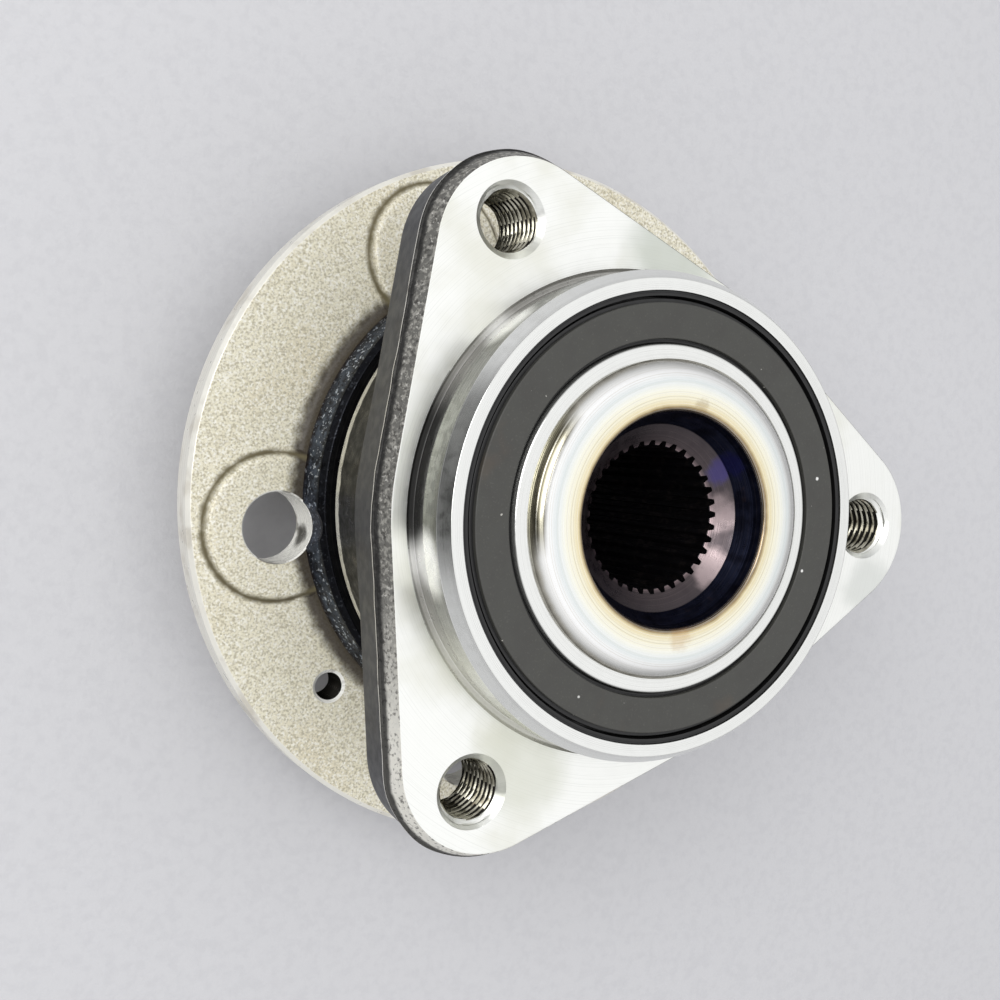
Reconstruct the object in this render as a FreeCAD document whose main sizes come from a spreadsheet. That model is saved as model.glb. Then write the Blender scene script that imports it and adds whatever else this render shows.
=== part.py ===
import FreeCAD, Part
import math
import os
import re

import Sketcher

# Driven wheel hub bearing, generation 3: a flanged spindle turns on two rows of balls inside a
# flanged outer ring that is bolted to the knuckle.
# The origin is on the spin axis at the seat face for the brake disc. +Z points inboard, to the knuckle.

SIZES = [
    ("flange_radius", 69.0, "wheel flange, outside"),
    ("flange_thickness", 7.5, "wheel flange, seat face to back"),
    ("rim_chamfer", 0.8, "broken edges of the wheel flange"),
    ("brake_pilot_radius", 29.9, "spigot for the brake disc"),
    ("brake_pilot_height", 8.0, "spigot for the brake disc"),
    ("wheel_pilot_radius", 28.2, "spigot for the wheel"),
    ("wheel_pilot_height", 15.0, "seat face to the end of the wheel spigot"),
    ("pilot_chamfer", 1.5, "lead-in of the wheel spigot"),
    ("pilot_step_chamfer", 0.5, "edge of the brake spigot"),
    ("relief_inner_radius", 31.5, "turned relief in the seat face"),
    ("relief_outer_radius", 40.0, "turned relief in the seat face"),
    ("relief_depth", 1.2, "turned relief in the seat face"),
    ("nut_recess_radius", 21.0, "recess for the axle nut"),
    ("nut_seat_height", 10.0, "seat of the axle nut"),
    ("nut_seat_chamfer", 0.8, "edge of the splined bore at the nut seat"),
    ("stud_count", 5, "wheel studs"),
    ("stud_circle_radius", 52.5, "bolt circle of the wheel studs"),
    ("stud_hole_radius", 6.7, "bore for a knurled stud"),
    ("stud_start", 183.5, "angle of the first stud hole"),
    ("boss_radius", 13.9, "raised pad round a stud hole, at its foot"),
    ("boss_height", 1.8, "raised pad above the flange"),
    ("boss_draft", 26.0, "slope of the pad's wall"),
    ("disc_screw_circle_radius", 54.4, "hole that holds the disc on the hub"),
    ("disc_screw_hole_radius", 2.5, "wall of the tapped hole"),
    ("disc_screw_mouth_radius", 3.3, "chamfer of the tapped hole"),
    ("neck_foot_radius", 48.0, "neck behind the flange, at its foot"),
    ("neck_foot_fillet", 2.0, "fillet between the flange and the neck"),
    ("neck_shoulder_radius", 46.4, "neck below its chamfer"),
    ("neck_top_radius", 45.4, "neck at its end face"),
    ("neck_chamfer", 1.0, "height of the neck's chamfer"),
    ("neck_gap", 3.0, "neck to the outer ring"),
    ("land_radius", 29.85, "seal land and high shoulder on the spindle and the inner ring"),
    ("land_fillet", 3.0, "fillet between the neck face and the seal land"),
    ("inner_low_shoulder", 27.6, "low shoulder of the inner raceways"),
    ("stub_radius", 21.5, "seat of the inner ring on the spindle"),
    ("inner_ring_start", 39.4, "shoulder that the inner ring stands on"),
    ("inner_ring_length", 20.6, "width of the inner ring"),
    ("inner_ring_chamfer", 0.5, "outer edges of the inner ring"),
    ("roll_chamfer", 2.0, "bore corner of the inner ring that the collar fills"),
    ("collar_radius", 27.3, "rolled collar, outside"),
    ("collar_height", 2.6, "rolled collar, its crown above the inner ring"),
    ("collar_edge", 0.5, "straight edge of the collar at the inner ring"),
    ("collar_crown_radius", 23.6, "outer end of the collar's flat crown"),
    ("collar_round", 4.6, "rounding of the collar's outside"),
    ("lip_round", 0.9, "rounding of the bore's mouth"),
    ("bore_mouth_radius", 18.7, "mouth of the bore"),
    ("bore_taper_radius", 16.3, "small end of the bore's taper"),
    ("bore_taper_depth", 5.3, "crown to the small end of the taper"),
    ("spline_lead_depth", 2.5, "chamfer that leads into the splines"),
    ("spline_count", 36, "teeth"),
    ("spline_root_radius", 13.4, "bottom of the tooth spaces"),
    ("spline_tip_radius", 12.5, "tips of the teeth"),
    ("spline_root_width", 0.8, "tooth space at its bottom"),
    ("spline_mouth_width", 1.5, "tooth space at the tips"),
    ("pitch_radius", 32.8, "circle of the ball centres"),
    ("ball_radius", 5.75, "balls"),
    ("ball_count", 15, "balls in a row"),
    ("race_clearance", 0.15, "ball to raceway"),
    ("row_middle", 39.1, "half way between the two rows"),
    ("row_offset", 7.8, "half way to each row"),
    ("ring_start", 18.5, "outboard end of the outer ring"),
    ("ring_length", 41.2, "width of the outer ring"),
    ("ring_wall", 6.2, "seal bore to the outside of the outer ring's body"),
    ("ring_chamfer", 1.2, "outboard edge of the outer ring"),
    ("seal_height", 8.95, "seal land to the seat of the seals"),
    ("seal_bore_depth", 5.2, "seat of the seals"),
    ("outer_low_shoulder", 38.2, "outer raceways, shoulder at the seals"),
    ("outer_high_shoulder", 35.6, "outer raceways, shoulder between the rows"),
    ("mount_face_height", 48.2, "face that seats on the knuckle"),
    ("mount_flange_thickness", 14.5, "knuckle flange"),
    ("parting_drop", 4.2, "seat face to the parting line of the forging"),
    ("inboard_draft_growth", 1.3, "outline at the parting line beyond the face"),
    ("outboard_draft_growth", 0.6, "outline at the parting line beyond the far side"),
    ("flange_base_radius", 46.3, "knuckle flange between its lobes"),
    ("lobe_count", 3, "lobes of the knuckle flange"),
    ("lobe_start", -4.5, "angle of the first lobe"),
    ("lobe_radius", 16.6, "round end of a lobe"),
    ("lobe_centre_radius", 49.4, "centre of a lobe's round end"),
    ("knuckle_circle_radius", 55.8, "bolt circle of the knuckle"),
    ("knuckle_hole_radius", 5.1, "wall of a tapped hole"),
    ("knuckle_mouth_radius", 6.6, "chamfer of a tapped hole"),
    ("pilot_wall", 3.6, "seal bore to the spigot in the knuckle"),
    ("pilot_undercut_depth", 0.5, "groove at the spigot's foot"),
    ("pilot_undercut_width", 4.0, "groove at the spigot's foot"),
    ("pilot_lead_length", 2.4, "lead-in of the spigot"),
    ("pilot_lead_drop", 1.5, "lead-in of the spigot"),
    ("cage_inner_radius", 30.9, "cages"),
    ("cage_outer_radius", 35.0, "cages"),
    ("cage_snap", 2.2, "ball centre to the open side of a cage"),
    ("cage_back", 7.2, "ball centre to the back of a cage"),
    ("pocket_clearance", 0.2, "ball to pocket"),
    ("scallop_radius", 3.1, "relief in the back of a cage"),
    ("scallop_depth", 1.9, "relief in the back of a cage"),
    ("sheet_steel", 0.5, "seal cases and slinger"),
    ("rubber_coat", 0.4, "rubber on the inboard seal's case"),
    ("seal_inset", 0.3, "seal behind the end face of the outer ring"),
    ("seal_length", 4.6, "inboard seal"),
    ("case_inner_radius", 32.6, "inner edge of the seal cases"),
    ("lip_thickness", 0.5, "seal lips"),
    ("lip_clearance", 0.2, "lips to what they run on"),
    ("axial_lip_radius", 34.4, "tip of the inboard seal's axial lip"),
    ("slinger_length", 4.4, "sleeve of the slinger"),
    ("slinger_clearance", 1.3, "rim of the slinger to the seal bore"),
    ("encoder_inset", 0.2, "encoder ring below the end of the inner ring"),
    ("encoder_thickness", 0.9, "magnetic speed ring"),
    ("encoder_inner_radius", 30.7, "magnetic speed ring"),
    ("encoder_margin", 0.7, "rim of the slinger outside the speed ring"),
    ("outboard_seal_inset", 0.5, "outboard seal behind the outer ring's end"),
    ("outboard_seal_length", 4.5, "outboard seal case"),
    ("outer_lip_radius", 37.2, "tip of the outboard seal's outer lip"),
    ("inner_lip_radius", 34.0, "tip of the outboard seal's inner lip"),
]

# Places that follow from the sizes, as formulas over the sheet
ring_end = "(ring_start + ring_length)"
seal_bore_radius = "(land_radius + seal_height)"
ring_radius = "(" + seal_bore_radius + " + ring_wall)"
pilot_radius = "(" + seal_bore_radius + " + pilot_wall)"
slinger_radius = "(" + seal_bore_radius + " - slinger_clearance)"
encoder_outer_radius = "(" + slinger_radius + " - encoder_margin)"
neck_top = "(ring_start - neck_gap)"
outboard_row = "(row_middle - row_offset)"
inboard_row = "(row_middle + row_offset)"
race_radius = "(ball_radius + race_clearance)"
inner_ring_end = "(inner_ring_start + inner_ring_length)"
crown = "(" + inner_ring_end + " + collar_height)"
taper_end = "(" + crown + " - bore_taper_depth)"
spline_end = "(" + taper_end + " - spline_lead_depth)"
parting = "(mount_face_height - parting_drop)"
seal_end = "(" + ring_end + " - seal_inset)"
seal_floor = "(" + seal_end + " - seal_length)"
encoder_face = "(" + inner_ring_end + " - encoder_inset)"
slinger_face = "(" + encoder_face + " - encoder_thickness)"
slinger_bore = "(land_radius + sheet_steel)"
outboard_seal_start = "(ring_start + outboard_seal_inset)"
outboard_seal_end = "(" + outboard_seal_start + " + outboard_seal_length)"

doc = FreeCAD.newDocument("wheel_hub_bearing")
sheet = doc.addObject("Spreadsheet::Sheet", "Sizes")
for row, (alias, number, meaning) in enumerate(SIZES, start=1):
    sheet.set("A%d" % row, alias)
    sheet.set("B%d" % row, str(number))
    sheet.set("C%d" % row, meaning)
    sheet.setAlias("B%d" % row, alias)
doc.recompute()
ALIASES = {alias for alias, number, meaning in SIZES}


def formula(text):
    """Point each size named in a formula at its cell in the sheet."""
    return re.sub(r"[a-z_]+", lambda word: "Sizes." + word[0] if word[0] in ALIASES else word[0], text)


def value(text):
    """Present value of a formula over the sheet."""
    result = sheet.evalExpression(text)
    return float(getattr(result, "Value", result))


def new_body(label):
    """Empty body for one turned, forged or moulded piece."""
    body = doc.addObject("PartDesign::Body", label)
    body.Label = label
    return body


def origin_feature(body, role):
    """Plane or axis of the body's own origin."""
    return [feature for feature in body.Origin.OriginFeatures if feature.Role == role][0]


def new_sketch(body, name, plane, height=None, turn=None):
    """Sketch on an origin plane, lifted by a height and turned about its normal."""
    sketch = body.newObject("Sketcher::SketchObject", name)
    sketch.AttachmentSupport = [(origin_feature(body, plane), "")]
    sketch.MapMode = "FlatFace"
    axis = FreeCAD.Vector(0, 0, 1)
    lift = FreeCAD.Vector(0, 0, value(height) if height else 0)
    sketch.AttachmentOffset = FreeCAD.Placement(lift, FreeCAD.Rotation(axis, value(turn) if turn else 0))
    if height:
        sketch.setExpression("AttachmentOffset.Base.z", formula(height))
    if turn:
        sketch.setExpression("AttachmentOffset.Rotation.Angle", formula(turn))
    return sketch


def drive(sketch, kind, place, text):
    """Dimension in a sketch whose length is a formula over the sheet."""
    index = sketch.addConstraint(Sketcher.Constraint(kind, *place, value(text)))
    sketch.setExpression("Constraints[%d]" % index, formula(text))


def arc_between(start, end, radius, side):
    """Short arc from start to end, its centre on the left (side 1) or the right (side -1)."""
    chord = end - start
    middle = (start + end) * 0.5
    left = FreeCAD.Vector(-chord.y, chord.x, 0).normalize()
    reach = math.sqrt(max(radius * radius - chord.Length * chord.Length / 4, 0))
    centre = middle + left * reach * side
    first = math.atan2(start.y - centre.y, start.x - centre.x)
    last = math.atan2(end.y - centre.y, end.x - centre.x)
    if side < 0:
        first, last = last, first
    circle = Part.Circle(centre, FreeCAD.Vector(0, 0, 1), radius)
    return Part.ArcOfCircle(circle, first, last if last > first else last + 2 * math.pi)


def outline(sketch, corners, arcs=None):
    """Closed outline through corners given as formulas; arcs maps an edge to its radius and side."""
    arcs = arcs or {}
    points = [FreeCAD.Vector(value(across), value(up), 0) for across, up in corners]
    ends = []
    for index, start in enumerate(points):
        end = points[(index + 1) % len(points)]
        if index in arcs:
            radius, side = arcs[index]
            edge = sketch.addGeometry(arc_between(start, end, value(radius), side))
            drive(sketch, "Radius", (edge,), radius)
            ends.append((edge, 1, 2) if side > 0 else (edge, 2, 1))
        else:
            edge = sketch.addGeometry(Part.LineSegment(start, end))
            ends.append((edge, 1, 2))
    for index, (across, up) in enumerate(corners):
        edge, first, last = ends[index]
        before, _, before_last = ends[index - 1]
        sketch.addConstraint(Sketcher.Constraint("Coincident", before, before_last, edge, first))
        drive(sketch, "DistanceX", (-1, 1, edge, first), across)
        drive(sketch, "DistanceY", (-1, 1, edge, first), up)


def round_outline(sketch, across, up, radius):
    """One full circle, its centre and radius given as formulas."""
    centre = FreeCAD.Vector(value(across), value(up), 0)
    edge = sketch.addGeometry(Part.Circle(centre, FreeCAD.Vector(0, 0, 1), value(radius)))
    drive(sketch, "DistanceX", (-1, 1, edge, 3), across)
    drive(sketch, "DistanceY", (-1, 1, edge, 3), up)
    drive(sketch, "Radius", (edge,), radius)


def turned(body, name, corners, arcs=None):
    """Solid of revolution about the spin axis; corners are (radius, height)."""
    sketch = new_sketch(body, name + "Profile", "XZ_Plane")
    outline(sketch, corners, arcs)
    revolution = body.newObject("PartDesign::Revolution", name)
    revolution.Profile = sketch
    revolution.ReferenceAxis = (sketch, ["V_Axis"])
    revolution.Angle = 360
    return revolution


def turned_groove(body, name, corners):
    """Cut turned round the spin axis; corners are (radius, height)."""
    sketch = new_sketch(body, name + "Profile", "XZ_Plane")
    outline(sketch, corners)
    groove = body.newObject("PartDesign::Groove", name)
    groove.Profile = sketch
    groove.ReferenceAxis = (sketch, ["V_Axis"])
    groove.Angle = 360
    return groove


def raceway(body, name, row):
    """Round groove for one row of balls."""
    sketch = new_sketch(body, name + "Profile", "XZ_Plane")
    round_outline(sketch, "pitch_radius", row, race_radius)
    groove = body.newObject("PartDesign::Groove", name)
    groove.Profile = sketch
    groove.ReferenceAxis = (sketch, ["V_Axis"])
    groove.Angle = 360
    return groove


def round_the_axis(body, name, features, count):
    """Repeat features evenly round the spin axis."""
    pattern = body.newObject("PartDesign::PolarPattern", name)
    pattern.Originals = features
    pattern.Axis = (origin_feature(body, "Z_Axis"), [""])
    pattern.Angle = 360
    pattern.Occurrences = int(value(count))
    pattern.setExpression("Occurrences", formula(count))
    body.Tip = pattern
    return pattern


def chamfered_hole(body, name, reach, radius, mouth, face, depth, turn):
    """Drilled hole along the axis and the chamfer of its mouth, cut from a face at a height."""
    angle = "((%s) * 1 deg)" % turn
    drilled = body.newObject("PartDesign::SubtractiveCylinder", name)
    cone = body.newObject("PartDesign::SubtractiveCone", name + "Mouth")
    mouth_depth = "(%s - %s)" % (mouth, radius)
    for tool, height in ((drilled, depth), (cone, mouth_depth)):
        tool.AttachmentSupport = [(origin_feature(body, "XY_Plane"), "")]
        tool.MapMode = "FlatFace"
        tool.setExpression("AttachmentOffset.Base.x", formula("%s * cos%s" % (reach, angle)))
        tool.setExpression("AttachmentOffset.Base.y", formula("%s * sin%s" % (reach, angle)))
        tool.setExpression("AttachmentOffset.Base.z", formula("%s - %s" % (face, height)))
        tool.setExpression("Height", formula(height))
    drilled.setExpression("Radius", formula(radius))
    cone.setExpression("Radius1", formula(radius))
    cone.setExpression("Radius2", formula(mouth))
    return [drilled, cone]


def make_wheel_hub():
    """Flanged spindle: pilots, flange, neck, outboard raceway, ring seat, rolled collar and bore."""
    body = new_body("wheel_hub")
    corners = [
        ("nut_recess_radius", "-wheel_pilot_height"),
        ("wheel_pilot_radius - pilot_chamfer", "-wheel_pilot_height"),
        ("wheel_pilot_radius", "pilot_chamfer - wheel_pilot_height"),
        ("wheel_pilot_radius", "-brake_pilot_height"),
        ("brake_pilot_radius - pilot_step_chamfer", "-brake_pilot_height"),
        ("brake_pilot_radius", "pilot_step_chamfer - brake_pilot_height"),
        ("brake_pilot_radius", "0"),
        ("relief_inner_radius", "0"),
        ("relief_inner_radius", "relief_depth"),
        ("relief_outer_radius", "relief_depth"),
        ("relief_outer_radius", "0"),
        ("flange_radius - rim_chamfer", "0"),
        ("flange_radius", "rim_chamfer"),
        ("flange_radius", "flange_thickness - rim_chamfer"),
        ("flange_radius - rim_chamfer", "flange_thickness"),
        ("neck_foot_radius + neck_foot_fillet", "flange_thickness"),
        ("neck_foot_radius", "flange_thickness + neck_foot_fillet"),
        ("neck_shoulder_radius", neck_top + " - neck_chamfer"),
        ("neck_top_radius", neck_top),
        ("land_radius + land_fillet", neck_top),
        ("land_radius", neck_top + " + land_fillet"),
        ("land_radius", outboard_row),
        ("inner_low_shoulder", outboard_row),
        ("inner_low_shoulder", "inner_ring_start"),
        ("stub_radius", "inner_ring_start"),
        ("stub_radius", inner_ring_end + " - roll_chamfer"),
        ("stub_radius + roll_chamfer", inner_ring_end),
        ("collar_radius", inner_ring_end),
        ("collar_radius", inner_ring_end + " + collar_edge"),
        ("collar_crown_radius", crown),
        ("bore_mouth_radius + lip_round", crown),
        ("bore_mouth_radius", crown + " - lip_round"),
        ("bore_taper_radius", taper_end),
        ("spline_tip_radius", spline_end),
        ("spline_tip_radius", "nut_seat_height + nut_seat_chamfer"),
        ("spline_root_radius", "nut_seat_height"),
        ("nut_recess_radius", "nut_seat_height"),
    ]
    names = [across + " | " + up for across, up in corners]
    neck_foot = names.index("neck_foot_radius + neck_foot_fillet | flange_thickness")
    land_foot = names.index("land_radius + land_fillet | " + neck_top)
    collar_shoulder = names.index("collar_radius | " + inner_ring_end + " + collar_edge")
    bore_lip = names.index("bore_mouth_radius + lip_round | " + crown)
    arcs = {
        neck_foot: ("neck_foot_fillet", -1),
        land_foot: ("land_fillet", -1),
        collar_shoulder: ("collar_round", 1),
        bore_lip: ("lip_round", 1),
    }
    turned(body, "Forging", corners, arcs)
    raceway(body, "OutboardRaceway", outboard_row)

    # Pads round the stud holes: half round outside, straight sides that run into the neck
    foot = new_sketch(body, "BossOutline", "XY_Plane", "flange_thickness", "stud_start")
    boss_corners = [
        ("neck_top_radius - boss_radius / 4", "-boss_radius"),
        ("stud_circle_radius", "-boss_radius"),
        ("stud_circle_radius + boss_radius", "0"),
        ("stud_circle_radius", "boss_radius"),
        ("neck_top_radius - boss_radius / 4", "boss_radius"),
    ]
    outline(foot, boss_corners, {1: ("boss_radius", 1), 2: ("boss_radius", 1)})
    boss = body.newObject("PartDesign::Pad", "StudBoss")
    boss.Profile = foot
    boss.setExpression("Length", formula("boss_height"))
    boss.setExpression("TaperAngle", formula("-boss_draft"))
    round_the_axis(body, "StudBosses", [boss], "stud_count")

    # The stud bores run on up through the edge of the neck, so that a stud's head seats flat
    bore = new_sketch(body, "StudCircle", "XY_Plane", neck_top, "stud_start")
    round_outline(bore, "stud_circle_radius", "0", "stud_hole_radius")
    stud_hole = body.newObject("PartDesign::Pocket", "StudHole")
    stud_hole.Profile = bore
    stud_hole.setExpression("Length", formula(neck_top))
    round_the_axis(body, "StudHoles", [stud_hole], "stud_count")

    # The disc screw's hole lies half way between two stud holes
    between_studs = "stud_start + 180 / stud_count"
    chamfered_hole(body, "DiscScrewHole", "disc_screw_circle_radius", "disc_screw_hole_radius",
                   "disc_screw_mouth_radius", "flange_thickness", "flange_thickness", between_studs)

    # Splines: one tooth space from the lead-in cone down, repeated round the bore
    space = new_sketch(body, "SplineSpace", "XY_Plane", taper_end)
    mouth_depth = "(spline_tip_radius - spline_root_width)"
    space_corners = [
        (mouth_depth, "-spline_mouth_width / 2"),
        ("spline_tip_radius", "-spline_mouth_width / 2"),
        ("spline_root_radius", "-spline_root_width / 2"),
        ("spline_root_radius", "spline_root_width / 2"),
        ("spline_tip_radius", "spline_mouth_width / 2"),
        (mouth_depth, "spline_mouth_width / 2"),
    ]
    outline(space, space_corners)
    broach = body.newObject("PartDesign::Pocket", "ToothSpace")
    broach.Profile = space
    broach.setExpression("Length", formula(taper_end + " - nut_seat_height"))
    round_the_axis(body, "Splines", [broach], "spline_count")
    return body


def make_outer_ring():
    """Stationary ring: body, three-lobed knuckle flange, spigot, seal seats and two raceways."""
    body = new_body("outer_ring")
    corners = [
        (seal_bore_radius, "ring_start"),
        (ring_radius + " - ring_chamfer", "ring_start"),
        (ring_radius, "ring_start + ring_chamfer"),
        (ring_radius, "mount_face_height"),
        (pilot_radius, "mount_face_height"),
        (pilot_radius, ring_end + " - pilot_lead_length"),
        (pilot_radius + " - pilot_lead_drop", ring_end),
        (seal_bore_radius, ring_end),
        (seal_bore_radius, ring_end + " - seal_bore_depth"),
        ("outer_low_shoulder", ring_end + " - seal_bore_depth"),
        ("outer_low_shoulder", inboard_row),
        ("outer_high_shoulder", inboard_row),
        ("outer_high_shoulder", outboard_row),
        ("outer_low_shoulder", outboard_row),
        ("outer_low_shoulder", "ring_start + seal_bore_depth"),
        (seal_bore_radius, "ring_start + seal_bore_depth"),
    ]
    turned(body, "RingBody", corners)

    # The flange's outline is drawn at the parting line, where straight flanks touch the base
    # circle and the lobes' round ends. It drafts away from there to both faces.
    base = "(flange_base_radius + inboard_draft_growth)"
    tip = "(lobe_radius + inboard_draft_growth)"
    flank_turn = "acos((flange_base_radius - lobe_radius) / lobe_centre_radius)"
    flange_corners = []
    flange_arcs = {}
    for lobe in range(int(value("lobe_count"))):
        middle = "%d * 360 deg / lobe_count" % lobe
        for side in ("-", "+"):
            normal = "(%s %s %s)" % (middle, side, flank_turn)
            on_base = ("%s * cos%s" % (base, normal), "%s * sin%s" % (base, normal))
            on_tip = ("lobe_centre_radius * cos(%s) + %s * cos%s" % (middle, tip, normal),
                      "lobe_centre_radius * sin(%s) + %s * sin%s" % (middle, tip, normal))
            flange_corners.extend([on_base, on_tip] if side == "-" else [on_tip, on_base])
        flange_arcs[4 * lobe + 1] = (tip, 1)
        flange_arcs[4 * lobe + 3] = (base, 1)
    for name, drop, growth, reverse in (
        ("InboardDraft", "parting_drop", "inboard_draft_growth", False),
        ("OutboardDraft", "(mount_flange_thickness - parting_drop)", "outboard_draft_growth", True),
    ):
        flange = new_sketch(body, name + "Outline", "XY_Plane", parting, "lobe_start")
        outline(flange, flange_corners, flange_arcs)
        pad = body.newObject("PartDesign::Pad", name)
        pad.Profile = flange
        pad.Reversed = reverse
        pad.setExpression("Length", formula(drop))
        pad.setExpression("TaperAngle", formula("-atan(%s / %s)" % (growth, drop)))

    # The flange's blank covers the bore, so the inside is turned after it
    inside_corners = [("0", "ring_start"), ("outer_high_shoulder", "ring_start"),
                      ("outer_high_shoulder", ring_end), ("0", ring_end)]
    turned_groove(body, "Inside", inside_corners)

    # Corner relief at the spigot's foot, cut a little into the seat face too
    relief_floor = "(mount_face_height - pilot_undercut_depth)"
    relief_end = "(mount_face_height + pilot_undercut_width)"
    relief_corners = [
        (pilot_radius + " - pilot_undercut_depth", relief_floor),
        (pilot_radius + " + pilot_undercut_depth", relief_floor),
        (pilot_radius + " + 2 * pilot_undercut_depth", "mount_face_height"),
        (pilot_radius + " + 2 * pilot_undercut_depth", relief_end),
        (pilot_radius, relief_end),
        (pilot_radius + " - pilot_undercut_depth", relief_end + " - pilot_undercut_depth"),
    ]
    turned_groove(body, "SpigotRelief", relief_corners)
    raceway(body, "OutboardRaceway", outboard_row)
    raceway(body, "InboardRaceway", inboard_row)

    tapped = chamfered_hole(body, "KnuckleHole", "knuckle_circle_radius", "knuckle_hole_radius",
                            "knuckle_mouth_radius", "mount_face_height", "mount_flange_thickness",
                            "lobe_start")
    round_the_axis(body, "KnuckleHoles", tapped, "lobe_count")
    return body


def make_inner_ring():
    """Small ring on the spindle, with the inboard raceway; the collar is rolled over its end."""
    body = new_body("inner_ring")
    corners = [
        ("stub_radius", "inner_ring_start"),
        ("inner_low_shoulder", "inner_ring_start"),
        ("inner_low_shoulder", inboard_row),
        ("land_radius", inboard_row),
        ("land_radius", inner_ring_end + " - inner_ring_chamfer"),
        ("land_radius - inner_ring_chamfer", inner_ring_end),
        ("stub_radius + roll_chamfer", inner_ring_end),
        ("stub_radius", inner_ring_end + " - roll_chamfer"),
    ]
    turned(body, "RingBlank", corners)
    raceway(body, "InboardRaceway", inboard_row)
    return body


def make_cage(label, row, away):
    """Crown cage: open on the side between the rows, solid and scalloped on the seal side."""
    body = new_body(label)
    front = "(%s - %d * cage_snap)" % (row, away)
    back = "(%s + %d * cage_back)" % (row, away)
    corners = [("cage_inner_radius", front), ("cage_outer_radius", front),
               ("cage_outer_radius", back), ("cage_inner_radius", back)]
    turned(body, "CageBlank", corners if away > 0 else corners[::-1])
    pocket = body.newObject("PartDesign::SubtractiveSphere", "Pocket")
    pocket.AttachmentSupport = [(origin_feature(body, "XY_Plane"), "")]
    pocket.MapMode = "FlatFace"
    pocket.setExpression("AttachmentOffset.Base.x", formula("pitch_radius"))
    pocket.setExpression("AttachmentOffset.Base.z", formula(row))
    pocket.setExpression("Radius", formula("ball_radius + pocket_clearance"))
    pockets = round_the_axis(body, "Pockets", [pocket], "ball_count")

    # Round reliefs in the back, between the pockets
    scallop = body.newObject("PartDesign::SubtractiveCylinder", "Scallop")
    scallop.AttachmentSupport = [(origin_feature(body, "XY_Plane"), "")]
    scallop.MapMode = "FlatFace"
    half_step = "(180 deg / ball_count)"
    along_radius = FreeCAD.Rotation(FreeCAD.Vector(0, 0, 1), value(half_step))
    along_radius = along_radius.multiply(FreeCAD.Rotation(FreeCAD.Vector(0, 1, 0), 90))
    scallop.AttachmentOffset = FreeCAD.Placement(FreeCAD.Vector(0, 0, 0), along_radius)
    scallop.setExpression("AttachmentOffset.Base.z",
                          formula("%s + %d * (scallop_radius - scallop_depth)" % (back, away)))
    scallop.setExpression("Radius", formula("scallop_radius"))
    scallop.setExpression("Height", formula("cage_outer_radius + cage_snap"))
    round_the_axis(body, "Scallops", [scallop], "ball_count")
    return body


def make_inboard_seal_case():
    """Pressed steel angle ring inside the inboard seal."""
    body = new_body("inboard_seal_case")
    outside = "(" + seal_bore_radius + " - rubber_coat)"
    corners = [
        ("case_inner_radius", seal_floor + " + rubber_coat"),
        (outside, seal_floor + " + rubber_coat"),
        (outside, seal_end),
        (outside + " - sheet_steel", seal_end),
        (outside + " - sheet_steel", seal_floor + " + rubber_coat + sheet_steel"),
        ("case_inner_radius", seal_floor + " + rubber_coat + sheet_steel"),
    ]
    turned(body, "CaseSection", corners)
    return body


def make_inboard_seal_lip():
    """Rubber moulded round the inboard case, with a radial lip and an axial lip."""
    body = new_body("inboard_seal_lip")
    outside = "(" + seal_bore_radius + " - rubber_coat)"
    case_floor = "(" + seal_floor + " + rubber_coat)"
    case_back = "(" + case_floor + " + sheet_steel)"
    skin = "(" + case_back + " + rubber_coat)"
    sleeve = "(" + slinger_bore + " + lip_clearance)"
    lip_end = "(" + slinger_face + " - sheet_steel - lip_clearance)"
    heel = "(case_inner_radius - 2 * lip_thickness)"
    corners = [
        (sleeve, seal_floor),
        (seal_bore_radius, seal_floor),
        (seal_bore_radius, seal_end),
        (outside, seal_end),
        (outside, case_floor),
        ("case_inner_radius", case_floor),
        ("case_inner_radius", case_back),
        ("axial_lip_radius + lip_thickness", case_back),
        ("axial_lip_radius - lip_thickness", skin),
        ("axial_lip_radius + lip_thickness", lip_end),
        ("axial_lip_radius", lip_end),
        (heel, skin),
        (sleeve, seal_floor + " + lip_thickness"),
    ]
    turned(body, "LipSection", corners)
    return body


def make_slinger():
    """Pressed steel ring on the inner ring, which carries the speed ring."""
    body = new_body("slinger")
    corners = [
        ("land_radius", encoder_face + " - slinger_length"),
        (slinger_bore, encoder_face + " - slinger_length"),
        (slinger_bore, slinger_face + " - sheet_steel"),
        (slinger_radius, slinger_face + " - sheet_steel"),
        (slinger_radius, slinger_face),
        ("land_radius", slinger_face),
    ]
    turned(body, "SlingerSection", corners)
    return body


def make_encoder_ring():
    """Magnetic speed ring, bonded to the slinger's face."""
    body = new_body("encoder_ring")
    corners = [
        ("encoder_inner_radius", slinger_face),
        (encoder_outer_radius, slinger_face),
        (encoder_outer_radius, encoder_face),
        ("encoder_inner_radius", encoder_face),
    ]
    turned(body, "EncoderSection", corners)
    return body


def make_outboard_seal_case():
    """Pressed steel angle ring of the wheel side seal."""
    body = new_body("outboard_seal_case")
    inside = "(" + seal_bore_radius + " - sheet_steel)"
    corners = [
        (inside, outboard_seal_start),
        (seal_bore_radius, outboard_seal_start),
        (seal_bore_radius, outboard_seal_end),
        ("case_inner_radius", outboard_seal_end),
        ("case_inner_radius", outboard_seal_end + " - sheet_steel"),
        (inside, outboard_seal_end + " - sheet_steel"),
    ]
    turned(body, "CaseSection", corners)
    return body


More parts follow.
